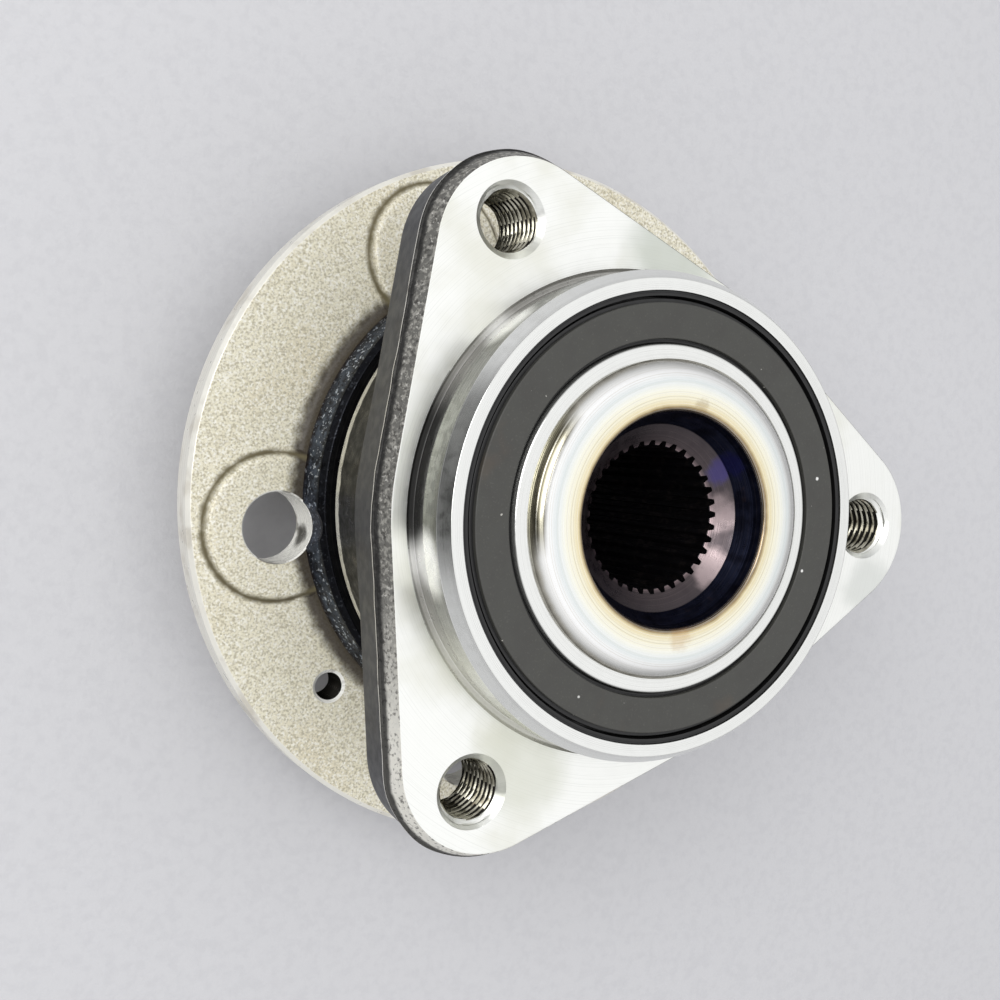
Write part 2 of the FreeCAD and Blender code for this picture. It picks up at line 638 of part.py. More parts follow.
def make_outboard_seal_lip():
    """Rubber of the wheel side seal: a radial lip on the land and two lips on the neck's face."""
    body = new_body("outboard_seal_lip")
    inside = "(" + seal_bore_radius + " - sheet_steel)"
    case_face = "(" + outboard_seal_end + " - sheet_steel)"
    skin = "(" + case_face + " - rubber_coat)"
    tips = "(" + neck_top + " + lip_clearance)"
    land = "(land_radius + lip_clearance)"
    corners = [
        (inside, case_face),
        ("case_inner_radius", case_face),
        ("case_inner_radius - lip_thickness", outboard_seal_end),
        (land, skin + " - 2 * lip_thickness"),
        (land, skin + " - 3 * lip_thickness"),
        ("case_inner_radius - lip_thickness", skin),
        ("inner_lip_radius - lip_thickness", tips),
        ("inner_lip_radius", tips),
        ("inner_lip_radius + lip_thickness", skin),
        ("outer_lip_radius - 2 * lip_thickness", skin),
        ("outer_lip_radius - lip_thickness", tips),
        ("outer_lip_radius", tips),
        ("outer_lip_radius", skin),
        (inside, skin),
    ]
    turned(body, "LipSection", corners[::-1])
    return body


def make_ball(label, row, number):
    """Rolling ball number of a row, at its place on the pitch circle."""
    ball = doc.addObject("Part::Sphere", label)
    ball.Label = label
    turn = "(%d * 360 deg / ball_count)" % number
    ball.setExpression("Radius", formula("ball_radius"))
    ball.setExpression("Placement.Base.x", formula("pitch_radius * cos" + turn))
    ball.setExpression("Placement.Base.y", formula("pitch_radius * sin" + turn))
    ball.setExpression("Placement.Base.z", formula(row))
    return ball


pieces = [
    make_wheel_hub(),
    make_outer_ring(),
    make_inner_ring(),
    make_cage("outboard_cage", outboard_row, -1),
    make_cage("inboard_cage", inboard_row, 1),
    make_inboard_seal_case(),
    make_inboard_seal_lip(),
    make_slinger(),
    make_encoder_ring(),
    make_outboard_seal_case(),
    make_outboard_seal_lip(),
]
for side, row in (("outboard", outboard_row), ("inboard", inboard_row)):
    for number in range(int(value("ball_count"))):
        pieces.append(make_ball("%s_ball_%02d" % (side, number + 1), row, number))
doc.recompute()

for item in doc.Objects:
    if "Invalid" in item.State or "Error" in item.State:
        raise RuntimeError("%s in failed state: %s" % (item.Label, item.State))
for piece in pieces:
    if piece.Shape.isNull() or not piece.Shape.isValid():
        raise RuntimeError("%s has no valid shape" % piece.Label)

os.makedirs("parts", exist_ok=True)
for piece in pieces:
    piece.Shape.exportStep(os.path.join("parts", piece.Label + ".step"))
    print("%-20s %12.1f mm3" % (piece.Label, piece.Shape.Volume))
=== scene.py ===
"""Driven wheel hub bearing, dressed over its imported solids: forged, turned, ground and moulded surfaces.

Lengths are in millimetres in the part's own frame until a mesh is made: the origin is on the spin
axis at the seat face for the brake disc, and +Z points inboard, to the knuckle.
"""

import logging
from dataclasses import dataclass, field, replace
from enum import Enum
from typing import Protocol

import bmesh
import bpy
import numpy as np
from mathutils import Matrix, Vector


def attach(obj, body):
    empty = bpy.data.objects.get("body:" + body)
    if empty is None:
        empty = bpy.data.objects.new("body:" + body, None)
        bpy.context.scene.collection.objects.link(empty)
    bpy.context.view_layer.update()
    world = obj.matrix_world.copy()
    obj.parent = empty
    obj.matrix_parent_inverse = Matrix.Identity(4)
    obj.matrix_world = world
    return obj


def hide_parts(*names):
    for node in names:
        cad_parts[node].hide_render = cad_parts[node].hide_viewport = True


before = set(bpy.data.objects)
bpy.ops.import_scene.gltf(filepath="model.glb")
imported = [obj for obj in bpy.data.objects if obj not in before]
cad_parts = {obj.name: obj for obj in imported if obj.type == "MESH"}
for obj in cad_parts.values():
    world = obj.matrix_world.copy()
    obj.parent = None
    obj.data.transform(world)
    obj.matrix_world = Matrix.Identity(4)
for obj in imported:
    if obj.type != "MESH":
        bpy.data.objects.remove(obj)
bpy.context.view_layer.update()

MM = 0.001
WELD = 2e-6
LOG = logging.getLogger("wheel_hub_bearing")
FEWEST_STEPS, MOST_STEPS = 2, 14
SIDE_SHARE = 0.3
CLOSEST_POINTS = 1e-4
CREASE = 32.0
FAR_ROUND = 1.4
TURNED_RISE = 0.83
COARSE, FINE = 2, 4

Colour = tuple[float, float, float]
Corner = tuple[float, float, float]
Place = tuple[float, float, float]
Socket = bpy.types.NodeSocket
Feed = Socket | float | tuple


class Operation(Enum):
    """How one closed mesh changes another."""

    CUT = "DIFFERENCE"
    JOIN = "UNION"


class Body(Enum):
    """Bodies of the bearing that turn against each other."""

    HOUSING = "housing"
    SPINDLE = "spindle"


class Slot(Enum):
    """Material slots."""

    HUB_STEEL = "hub_steel"
    RING_STEEL = "ring_steel"
    BEARING_STEEL = "bearing_steel"
    SEAL_STEEL = "seal_steel"
    SEAL_RUBBER = "seal_rubber"
    ENCODER_RUBBER = "encoder_rubber"


def tone(red: int, green: int, blue: int) -> Colour:
    """Linear colour from screen values of 0 to 255, by the power law of a plain display.

    Args:
        red, green, blue: Screen values.

    Returns:
        The colour that the shader works in.
    """
    screen = np.array([red, green, blue]) / 255
    return tuple(np.where(screen > 0.04, ((screen + 0.055) / 1.055) ** 2.4, screen / 12.92).tolist())


def rounded(corners: list[Corner], spacing: float = 0.14, shoulder: float = 0.12) -> np.ndarray:
    """Closed outline with each corner rounded.

    A corner of radius r that turns by an angle a leaves its two sides r * tan(a / 2) before the
    point, and the arc between is the leaving point turned about the arc's centre in equal steps.
    A close point before and after each arc keeps the flat sides flat when they are shaded.

    Args:
        corners: Radius from the axis, height and rounding of each corner.
        spacing: Length of one step along an arc.
        shoulder: Distance from an arc to the point that holds the flat side.

    Returns:
        Points of (radius, height), counterclockwise.
    """
    data = np.array(corners, dtype=float)
    point, radius = data[:, :2], data[:, 2]
    back = point - np.roll(point, 1, axis=0)
    ahead = np.roll(point, -1, axis=0) - point
    back_length = np.linalg.norm(back, axis=1)
    ahead_length = np.linalg.norm(ahead, axis=1)
    back /= back_length[:, None]
    ahead /= ahead_length[:, None]
    cross = back[:, 0] * ahead[:, 1] - back[:, 1] * ahead[:, 0]
    turn = np.arctan2(cross, (back * ahead).sum(axis=1))
    touch = radius * np.tan(np.abs(turn) / 2)
    spare_back = back_length - touch - np.roll(touch, 1)
    spare_ahead = np.roll(spare_back, -1)
    left = np.stack([-back[:, 1], back[:, 0]], axis=1) * np.sign(turn)[:, None]
    begin = point - back * touch[:, None]
    centre = begin + left * radius[:, None]
    wanted = np.clip(np.ceil(np.abs(turn) * radius / spacing), FEWEST_STEPS, MOST_STEPS)
    steps = np.where(radius > 0, wanted, 0).astype(int)
    extra = np.where(radius > 0, 2, 0)
    count = steps + 1 + extra
    owner = np.repeat(np.arange(len(data)), count)
    local = np.arange(count.sum()) - np.repeat(np.cumsum(count) - count, count) - extra[owner] / 2
    share = np.clip(local / np.maximum(steps[owner], 1), 0, 1)
    angle = share * turn[owner]
    arm = (begin - centre)[owner]
    spun = np.stack([arm[:, 0] * np.cos(angle) - arm[:, 1] * np.sin(angle),
                     arm[:, 0] * np.sin(angle) + arm[:, 1] * np.cos(angle)], axis=1)
    line = np.where((radius > 0)[owner, None], centre[owner] + spun, point[owner])
    hold_back = np.minimum(shoulder, SIDE_SHARE * spare_back)[owner, None]
    hold_ahead = np.minimum(shoulder, SIDE_SHARE * spare_ahead)[owner, None]
    before = (local < 0)[:, None] * -back[owner] * hold_back
    after = (local > steps[owner])[:, None] * ahead[owner] * hold_ahead
    line = line + before + after
    line = line[np.linalg.norm(np.roll(line, -1, axis=0) - line, axis=1) > CLOSEST_POINTS]
    across, up = line.T
    area = (across * np.roll(up, -1) - up * np.roll(across, -1)).sum()
    return line if area > 0 else line[::-1]


def arc(centre: tuple[float, float], radius: float, start: float, end: float, steps: int) -> list[Corner]:
    """Points of a circular arc as unrounded corners.

    Args:
        centre: Radius from the axis and height of the arc's centre.
        radius: Radius of the arc.
        start, end: Angles in degrees.
        steps: Spans along the arc.

    Returns:
        Corners for an outline.
    """
    angle = np.radians(np.linspace(start, end, steps + 1))
    across, up = radius * np.cos(angle), radius * np.sin(angle)
    return [(centre[0] + step, centre[1] + rise, 0.0) for step, rise in zip(across, up)]


def lathe(outline: np.ndarray, segments: int) -> np.ndarray:
    """Grid of a turned surface: each outline point (r, z) goes to (r cos a, r sin a, z).

    Args:
        outline: Points of (radius, height).
        segments: Steps round the axis.

    Returns:
        Grid of points, round the axis by along the outline.
    """
    angle = np.arange(segments) * 2 * np.pi / segments
    radius, height = outline.T
    return np.stack([np.outer(np.cos(angle), radius), np.outer(np.sin(angle), radius),
                     np.broadcast_to(height, (segments, len(height)))], axis=-1)


def moved(grid: np.ndarray, reach: float, turn: float) -> np.ndarray:
    """Carry a grid out along X by reach and then turn it about the spin axis by turn degrees."""
    angle = np.radians(turn)
    across = grid[..., 0] + reach
    return np.stack([across * np.cos(angle) - grid[..., 1] * np.sin(angle),
                     across * np.sin(angle) + grid[..., 1] * np.cos(angle), grid[..., 2]], axis=-1)


def placed(name: str, data: bpy.types.ID) -> bpy.types.Object:
    """Put a mesh, lamp or camera into the scene as an object at the origin."""
    added = bpy.data.objects.new(name, data)
    bpy.context.scene.collection.objects.link(added)
    return added


def meshed(name: str, points: np.ndarray, faces: list) -> bpy.types.Object:
    """Object over a new mesh.

    Args:
        name: Name of the object.
        points: Corners in metres.
        faces: Numbers of the corners of each face.

    Returns:
        The object.
    """
    mesh = bpy.data.meshes.new(name)
    mesh.from_pydata(points.reshape(-1, 3).tolist(), [], faces)
    mesh.update()
    return placed(name, mesh)


def skin(name: str, grid: np.ndarray, closed: bool = True) -> bpy.types.Object:
    """Closed mesh over a grid that wraps round its first direction.

    Args:
        name: Name of the object.
        grid: Points, round by along, in millimetres.
        closed: The second direction wraps too. If not, flat caps close its two ends.

    Returns:
        The object, with its faces pointing outwards.
    """
    around, along, _ = grid.shape
    index = np.arange(around * along).reshape(around, along)
    spun = np.roll(index, -1, axis=0)
    if closed:
        corners = (index, spun, np.roll(spun, -1, axis=1), np.roll(index, -1, axis=1))
    else:
        corners = (index[:, :-1], spun[:, :-1], spun[:, 1:], index[:, 1:])
    faces = np.stack(corners, axis=-1).reshape(-1, 4).tolist()
    if not closed:
        faces += [index[::-1, 0].tolist(), index[:, -1].tolist()]
    return meshed(name, grid * MM, faces)


def fused(name: str, tools: list[bpy.types.Object]) -> bpy.types.Object:
    """Put separate tool meshes into one object, so that they work in one step.

    Args:
        name: Name of the joined object.
        tools: Meshes that don't touch each other. They are removed.

    Returns:
        The joined object.
    """
    sizes = [len(tool.data.vertices) for tool in tools]
    starts = np.cumsum([0] + sizes[:-1])
    points: list[np.ndarray] = []
    faces: list[list[int]] = []
    for tool, start in zip(tools, starts):
        flat = np.empty(len(tool.data.vertices) * 3)
        tool.data.vertices.foreach_get("co", flat)
        points.append(flat.reshape(-1, 3))
        faces += [[corner + int(start) for corner in face.vertices] for face in tool.data.polygons]
        bpy.data.objects.remove(tool)
    return meshed(name, np.concatenate(points), faces)


def work(piece: bpy.types.Object, tool: bpy.types.Object, operation: Operation) -> None:
    """Cut a piece with a tool mesh or join the tool to it, and remove the tool.

    Args:
        piece: Closed mesh that changes.
        tool: Closed mesh that cuts or joins.
        operation: What the tool does.
    """
    change = piece.modifiers.new(operation.name, "BOOLEAN")
    change.operation = operation.value
    change.solver = "EXACT"
    change.object = tool
    done = bpy.data.meshes.new_from_object(piece.evaluated_get(bpy.context.evaluated_depsgraph_get()))
    piece.modifiers.clear()
    weld = bmesh.new()
    weld.from_mesh(done)
    bmesh.ops.remove_doubles(weld, verts=weld.verts, dist=WELD)
    bmesh.ops.dissolve_degenerate(weld, edges=weld.edges, dist=WELD)
    weld.to_mesh(done)
    weld.free()
    piece.data = done
    bpy.data.objects.remove(tool)


@dataclass
class Faces:
    """Centre and direction of each face of a piece, in millimetres, for choosing its finish."""

    centre: np.ndarray
    normal: np.ndarray

    @classmethod
    def of(cls, piece: bpy.types.Object) -> "Faces":
        """Read the faces of a piece."""
        polygons = piece.data.polygons
        centre = np.empty(len(polygons) * 3)
        normal = np.empty(len(polygons) * 3)
        polygons.foreach_get("center", centre)
        polygons.foreach_get("normal", normal)
        return cls(centre.reshape(-1, 3) / MM, normal.reshape(-1, 3))

    @property
    def radius(self) -> np.ndarray:
        """Distance of each face from the spin axis."""
        return np.hypot(self.centre[:, 0], self.centre[:, 1])

    @property
    def height(self) -> np.ndarray:
        """Height of each face."""
        return self.centre[:, 2]

    @property
    def up(self) -> np.ndarray:
        """Share of each face's direction that points along the axis."""
        return self.normal[:, 2]

    def near(self, reach: float, turns: np.ndarray) -> np.ndarray:
        """Distance of each face from the nearest hole axis of a bolt circle.

        Args:
            reach: Radius of the bolt circle.
            turns: Angles of its holes in degrees.

        Returns:
            The distance for each face.
        """
        angles = np.radians(turns)
        across = self.centre[:, :1] - reach * np.cos(angles)
        along = self.centre[:, 1:2] - reach * np.sin(angles)
        return np.hypot(across, along).min(axis=1)


class Graph:
    """Node tree with short calls for its nodes."""

    def __init__(self, tree: bpy.types.NodeTree) -> None:
        """Start with the tree emptied."""
        self.tree = tree
        tree.nodes.clear()

    def node(self, kind: str, **settings: object) -> bpy.types.Node:
        """Add a node of a kind with its settings."""
        added = self.tree.nodes.new(kind)
        for key, setting in settings.items():
            setattr(added, key, setting)
        return added

    def plug(self, target: Socket, source: Feed) -> None:
        """Link a socket to a socket, or set its number, colour or vector."""
        if isinstance(source, Socket):
            self.tree.links.new(source, target)
        elif isinstance(source, tuple) and target.type == "RGBA":
            target.default_value = (*source[:3], 1.0)
        else:
            target.default_value = source

    def fed(self, step: bpy.types.Node, *sources: Feed) -> Socket:
        """Feed a node's sockets in order and give its first output."""
        for target, source in zip(step.inputs, sources):
            self.plug(target, source)
        return step.outputs[0]

    def maths(self, operation: str, *operands: Feed) -> Socket:
        """Result of a Math node."""
        return self.fed(self.node("ShaderNodeMath", operation=operation), *operands)

    def vector(self, operation: str, *operands: Feed, **named: Feed) -> Socket:
        """Vector result of a Vector Math node."""
        step = self.node("ShaderNodeVectorMath", operation=operation)
        for key, source in named.items():
            self.plug(step.inputs[key], source)
        return self.fed(step, *operands)

    def spread(self, source: Feed, low: float, high: float, start: float = 0, end: float = 1) -> Socket:
        """Smooth step of a number from low to high into start to end."""
        step = self.node("ShaderNodeMapRange", interpolation_type="SMOOTHSTEP")
        return self.fed(step, source, low, high, start, end)

    def upward(self, place: Feed) -> Socket:
        """Z part of a vector."""
        split = self.node("ShaderNodeSeparateXYZ")
        self.plug(split.inputs[0], place)
        return split.outputs["Z"]

    def blend(self, share: Feed, under: Feed, over: Feed) -> Socket:
        """Colour over another by a share, through the colour sockets of a Mix node."""
        step = self.node("ShaderNodeMix", data_type="RGBA")
        for target, source in zip((step.inputs[0], step.inputs[6], step.inputs[7]), (share, under, over)):
            self.plug(target, source)
        return step.outputs[2]


class Surface(Graph):
    """Node tree of one material, with the coordinates and patterns that the finishes use.

    Places, radius and height are in millimetres. The turned coordinate is the radius plus a share
    of the height, so that marks of turning show on flat faces and on walls alike.
    """

    def __init__(self, name: str) -> None:
        """Start a material.

        Args:
            name: Name of the material.
        """
        self.material = bpy.data.materials.new(name)
        self.material.use_nodes = True
        super().__init__(self.material.node_tree)
        coordinates = self.node("ShaderNodeTexCoord")
        self.place = self.vector("SCALE", coordinates.outputs["Object"], Scale=1 / MM)
        self.flat = self.vector("MULTIPLY", self.place, (1, 1, 0))
        length = self.node("ShaderNodeVectorMath", operation="LENGTH")
        self.plug(length.inputs[0], self.flat)
        self.radius = length.outputs["Value"]
        self.height = self.upward(self.place)
        self.turned = self.maths("ADD", self.radius, self.maths("MULTIPLY", self.height, TURNED_RISE))

    def noise(self, key: str, place: Feed, scale: float, detail: float, **settings: object) -> Socket:
        """Noise texture whose socket named by key reads the place."""
        texture = self.node("ShaderNodeTexNoise", **settings)
        for target, source in ((key, place), ("Scale", scale), ("Detail", detail)):
            self.plug(texture.inputs[target], source)
        return texture.outputs[0]

    def grain(self, scale: float, detail: float = 3, offset: float = 0) -> Socket:
        """Noise over the surface, with about scale features to a millimetre."""
        place = self.vector("ADD", self.place, (offset, offset * 0.7, -offset))
        return self.noise("Vector", place, scale, detail)

    def sway(self, scale: float, detail: float, offset: float, reach: float) -> Socket:
        """Noise that swings to both sides of zero, by up to half the reach."""
        noise = self.grain(scale, detail, offset)
        return self.maths("MULTIPLY", self.maths("SUBTRACT", noise, 0.5), reach)

    def marks(self, scale: float, offset: float = 0, by_height: bool = False) -> Socket:
        """Noise along the turned coordinate, as marks of turning run, or along the height alone, as the
        painted reflection streaks run.
        """
        along = self.height if by_height else self.turned
        return self.noise("W", self.maths("ADD", along, offset), scale, 3, noise_dimensions="1D")

    def apart(self, centre: Place, place: Feed | None = None) -> Socket:
        """Distance from a centre, in space or from where the given place puts each point."""
        step = self.node("ShaderNodeVectorMath", operation="DISTANCE")
        self.fed(step, self.place if place is None else place, centre)
        return step.outputs["Value"]


def fill_ramp(ramp: bpy.types.Node, stops: list[tuple[float, Colour]]) -> None:
    """Give a colour ramp its stops.

    Args:
        ramp: Colour ramp node.
        stops: Place from 0 to 1 and colour of each stop, in order.
    """
    elements = ramp.color_ramp.elements
    while len(elements) < len(stops):
        elements.new(0.5)
    for element, (place, colour) in zip(elements, stops):
        element.position = place
        element.color = (*colour, 1)


class Layer(Protocol):
    """Colour that lies over what is under it in a pattern of its own."""

    def lay(self, graph: Surface, under: Feed) -> Feed:
        """Lay the colour over another."""


@dataclass(frozen=True)
class Mottle:
    """Patches of another colour where a noise runs high."""

    colour: Colour
    scale: float
    low: float
    high: float
    amount: float = 1.0
    detail: float = 4.0
    offset: float = 0.0

    def lay(self, graph: Surface, under: Feed) -> Feed:
        """Lay the patches over a colour."""
        noise = graph.grain(self.scale, self.detail, self.offset)
        return graph.blend(graph.spread(noise, self.low, self.high, 0, self.amount), under, self.colour)


@dataclass(frozen=True)
class TurningMarksAndReflections:
    """Rings of another colour left by turning or grinding over the whole surface; in one place, painted
    reflection streaks instead.
    """

    colour: Colour
    scale: float
    low: float
    high: float
    amount: float = 1.0
    offset: float = 0.0
    centre: Place | None = None
    reach: float = 0.0
    inner: float = 0.0
    by_height: bool = False

    def lay(self, graph: Surface, under: Feed) -> Feed:
        """Lay the rings over a colour, a little broken round the part.

        With a centre they are full over about half its reach, gone at the reach, and fade in from
        the inner radius outwards.
        """
        marks = graph.marks(self.scale, self.offset, self.by_height)
        rings = graph.spread(marks, self.low, self.high, 0, self.amount)
        if self.centre:
            near = graph.spread(graph.apart(self.centre), 0.55 * self.reach, self.reach, 1, 0)
            here = graph.maths("MULTIPLY", near, graph.spread(graph.radius, self.inner, self.inner + 1))
        else:
            here = graph.spread(graph.grain(0.12, COARSE, 9), 0.25, 0.6, 0.5, 1)
        return graph.blend(graph.maths("MULTIPLY", rings, here), under, self.colour)


@dataclass(frozen=True)
class Bands:
    """Colours that follow the radius, blended between stops."""

    stops: tuple[tuple[float, Colour], ...]
    amount: float = 1.0
    ragged: float = 0.1

    def lay(self, graph: Surface, under: Feed) -> Feed:
        """Lay the bands over a colour."""
        ordered = sorted(self.stops)
        first, last = ordered[0][0], ordered[-1][0]
        along = graph.maths("ADD", graph.radius, graph.sway(0.35, 3, 4, self.ragged * 4))
        share = graph.fed(graph.node("ShaderNodeMapRange"), along, first, last)
        ramp = graph.node("ShaderNodeValToRGB")
        fill_ramp(ramp, [((place - first) / (last - first), colour) for place, colour in ordered])
        return graph.blend(self.amount, under, graph.fed(ramp, share))


@dataclass(frozen=True)
class Tint:
    """Colour that is full at one radius or height and gone at another, with a ragged edge."""

    colour: Colour
    full: float
    gone: float
    amount: float = 1.0
    by_height: bool = False
    ragged: float = 0.5

    def lay(self, graph: Surface, under: Feed) -> Feed:
        """Lay the tint over a colour."""
        along = graph.height if self.by_height else graph.radius
        place = graph.maths("ADD", along, graph.sway(0.5, FINE, 8, self.ragged * 4))
        if self.full < self.gone:
            share = graph.spread(place, self.full, self.gone, self.amount, 0)
        else:
            share = graph.spread(place, self.gone, self.full, 0, self.amount)
        return graph.blend(share, under, self.colour)


@dataclass(frozen=True)
class StainAndPaintedLight:
    """Soft spot of another colour round a place, with a ragged edge: real stains and dust, and also
    painted shade, highlights and reflections.
    """

    colour: Colour
    centre: Place
    reach: float
    amount: float = 1.0
    ragged: float = 0.6

    def lay(self, graph: Surface, under: Feed) -> Feed:
        """Lay the spot over a colour, full within 0.4 of its reach and gone at the reach."""
        noise = graph.grain(1.6 / self.reach, FINE, self.centre[0])
        sway = graph.maths("MULTIPLY", noise, self.ragged * 2 * self.reach)
        edge = graph.maths("ADD", graph.apart(self.centre), sway)
        low, high = self.reach * (0.4 + self.ragged), self.reach * (1 + self.ragged)
        return graph.blend(graph.spread(edge, low, high, self.amount, 0), under, self.colour)


@dataclass(frozen=True)
class Halo:
    """Soft ring of another colour round an axis that stands parallel to the spin axis."""

    colour: Colour
    centre: tuple[float, float]
    radius: float
    width: float
    amount: float = 1.0

    def lay(self, graph: Surface, under: Feed) -> Feed:
        """Lay the ring over a colour, a little uneven along its way."""
        distance = graph.apart((*self.centre, 0), graph.flat)
        away = graph.maths("ABSOLUTE", graph.maths("SUBTRACT", distance, self.radius))
        edge = graph.maths("ADD", away, graph.maths("MULTIPLY", graph.grain(0.5, FINE, 6), self.width))
        share = graph.spread(edge, 0.5 * self.width, 1.5 * self.width, self.amount, 0)
        return graph.blend(share, under, self.colour)


@dataclass(frozen=True)
class Finish:
    """One surface finish: its colour and what lies over it, its gloss and its fine relief."""

    name: str
    colour: Colour
    roughness: float
    metallic: float = 1.0
    roughness_sway: float = 0.08
    layers: tuple[Layer, ...] = ()
    grain_scale: float = 3.0
    grain_depth: float = 0.0
    rings_scale: float = 4.0
    rings_depth: float = 0.0

    def material(self) -> bpy.types.Material:
        """Build the node material, with the layers in order and the relief from grain and rings.

        Returns:
            The material.
        """
        graph = Surface(self.name)
        colour: Feed = self.colour
        for layer in self.layers:
            colour = layer.lay(graph, colour)
        glossiest = max(self.roughness - self.roughness_sway, 0.03)
        dullest = self.roughness + self.roughness_sway
        grain = graph.maths("MULTIPLY", graph.grain(self.grain_scale, FINE, 1), self.grain_depth * MM)
        rings = graph.maths("MULTIPLY", graph.marks(self.rings_scale, 5), self.rings_depth * MM)
        bump = graph.node("ShaderNodeBump")
        graph.plug(bump.inputs["Height"], graph.maths("ADD", grain, rings))
        graph.plug(bump.inputs["Distance"], 1.0)
        shader = graph.node("ShaderNodeBsdfPrincipled")
        graph.plug(shader.inputs["Base Color"], colour)
        graph.plug(shader.inputs["Metallic"], self.metallic)
        graph.plug(shader.inputs["Roughness"],
                   graph.spread(graph.grain(0.5, FINE, 2), 0.3, 0.7, glossiest, dullest))
        graph.plug(shader.inputs["Normal"], bump.outputs[0])
        output = graph.node("ShaderNodeOutputMaterial")
        graph.plug(output.inputs["Surface"], shader.outputs[0])
        return graph.material


Rule = tuple[np.ndarray, Finish]


def paint(piece: bpy.types.Object, common: Finish, rules: tuple[Rule, ...] = ()) -> None:
    """Give each face its finish and shade the piece smooth up to the crease angle.

    Args:
        piece: Piece to finish.
        common: Finish of the faces that no rule holds.
        rules: Faces that a finish is for. The first rule that holds a face decides.
    """
    finishes = list(dict.fromkeys([common, *(finish for _, finish in rules)]))
    choice = np.zeros(len(piece.data.polygons), dtype=np.int32)
    for held, finish in reversed(rules):
        choice[held] = finishes.index(finish)
    piece.data.materials.clear()
    for finish in finishes:
        piece.data.materials.append(finish.material())
    piece.data.polygons.foreach_set("material_index", choice)
    piece.data.shade_smooth()
    piece.data.set_sharp_from_angle(angle=np.radians(CREASE))
    piece.data.update()


def install(piece: bpy.types.Object, node: str, body: Body) -> None:
    """Let a piece stand for its solid and ride on its body.

    Args:
        piece: Finished piece.
        node: Solid that it stands for.
        body: Body that carries it.
    """
    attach(piece, body.value)
    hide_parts(node)
    LOG.info("%s: %d faces", piece.name, len(piece.data.polygons))


# Painted shade: a soft dark ring along the foot of each stud pad.
PAD_FOOT_PAINTED_SHADE = tone(104, 96, 70)
BLASTED_STEEL = Finish(
    "blasted_steel", tone(236, 231, 208), 0.5, metallic=0.1, roughness_sway=0.06,
    grain_scale=2.4, grain_depth=0.06,
    layers=(Mottle(tone(224, 213, 182), 0.06, 0.45, 0.7, 0.4, offset=3),
            Mottle(tone(176, 168, 142), 2.3, 0.4, 0.68, 0.85, offset=2),
            Mottle(tone(254, 252, 242), 2.1, 0.46, 0.7, 0.85, offset=11),
            # Brown towards the neck's foot: partly oil staining, partly painted shade in the corner.
            Tint(tone(40, 29, 14), 48.7, 51.4, 0.95)))
RIM_STEEL = Finish(
    "rim_steel", tone(242, 240, 230), 0.35, metallic=0.3, grain_scale=2.5, grain_depth=0.02, rings_scale=6,
    rings_depth=0.01,
    layers=(TurningMarksAndReflections(tone(176, 170, 156), 5, 0.5, 0.7, 0.5),
            Mottle(tone(170, 158, 136), 0.15, 0.5, 0.7, 0.4)))
SEAT_STEEL = Finish(
    "seat_steel", tone(205, 202, 196), 0.3, rings_scale=5, rings_depth=0.012,
    layers=(TurningMarksAndReflections(tone(150, 146, 140), 4, 0.48, 0.66, 0.5),
            Mottle(tone(150, 132, 108), 0.1, 0.55, 0.75, 0.35)))
BORED_STEEL = Finish(
    "bored_steel", tone(252, 251, 244), 0.3, metallic=0.0, rings_scale=4, rings_depth=0.01,
    layers=(TurningMarksAndReflections(tone(180, 178, 168), 2.5, 0.5, 0.7, 0.5),
            Mottle(tone(96, 92, 80), 0.16, 0.56, 0.66, 0.8, offset=21),
            # Painted reflection: a dark patch on the wall of the first stud hole.
            StainAndPaintedLight(tone(66, 64, 56), (-46.4, -5.4, 4.4), 3.2, 0.9, 0.35)))
HARDENED_NECK = Finish(
    "hardened_neck", tone(58, 64, 76), 0.34, metallic=0.85, roughness_sway=0.1,
    grain_scale=1.6, grain_depth=0.03,
    layers=(Mottle(tone(84, 94, 110), 0.5, 0.45, 0.66, 0.8),
            Mottle(tone(26, 27, 33), 0.9, 0.48, 0.66, 0.85),
            Mottle(tone(214, 222, 236), 1.5, 0.6, 0.67, 0.9, offset=6),
            Mottle(tone(196, 208, 226), 0.9, 0.62, 0.68, 0.8, offset=14),
            # Brown at the neck's foot: partly oil staining, partly painted shade in the corner.
            Tint(tone(52, 36, 22), 8.6, 10.6, 0.85, by_height=True),
            # Painted shade: the neck's top darkened nearly black, where it runs into the gap under the
            # outer ring.
            Tint(tone(12, 12, 15), 14.6, 13.2, 0.95, by_height=True, ragged=0.2)))
# Painted shade: the neck's top face and the fillet down to the land, nearly black as the gap under the
# outer ring.
PAINTED_SHADE_NECK_FACE = Finish(
    "painted_shade_neck_face", tone(18, 18, 20), 0.35, metallic=0.6, rings_scale=3, rings_depth=0.01,
    layers=(TurningMarksAndReflections(tone(44, 42, 40), 3, 0.5, 0.7, 0.5),))
MOUNT_FACE_STEEL = Finish(
    "mount_face_steel", tone(254, 255, 250), 0.32, metallic=0.9, roughness_sway=0.04,
    rings_scale=6, rings_depth=0.003,
    layers=(TurningMarksAndReflections(tone(226, 228, 222), 5, 0.5, 0.72, 0.4),
            Mottle(tone(228, 228, 212), 0.05, 0.46, 0.7, 0.6),
            # Painted shade: three soft grey patches over the mounting face, greyest right of the upper
            # hole.
            StainAndPaintedLight(tone(196, 202, 190), (9.0, 46.5, 48.2), 13, 0.7, 0.25),
            StainAndPaintedLight(tone(206, 208, 188), (-22.0, -42.0, 48.2), 13, 0.5, 0.3),
            StainAndPaintedLight(tone(206, 210, 204), (57.0, -17.0, 48.2), 8, 0.5, 0.3)))
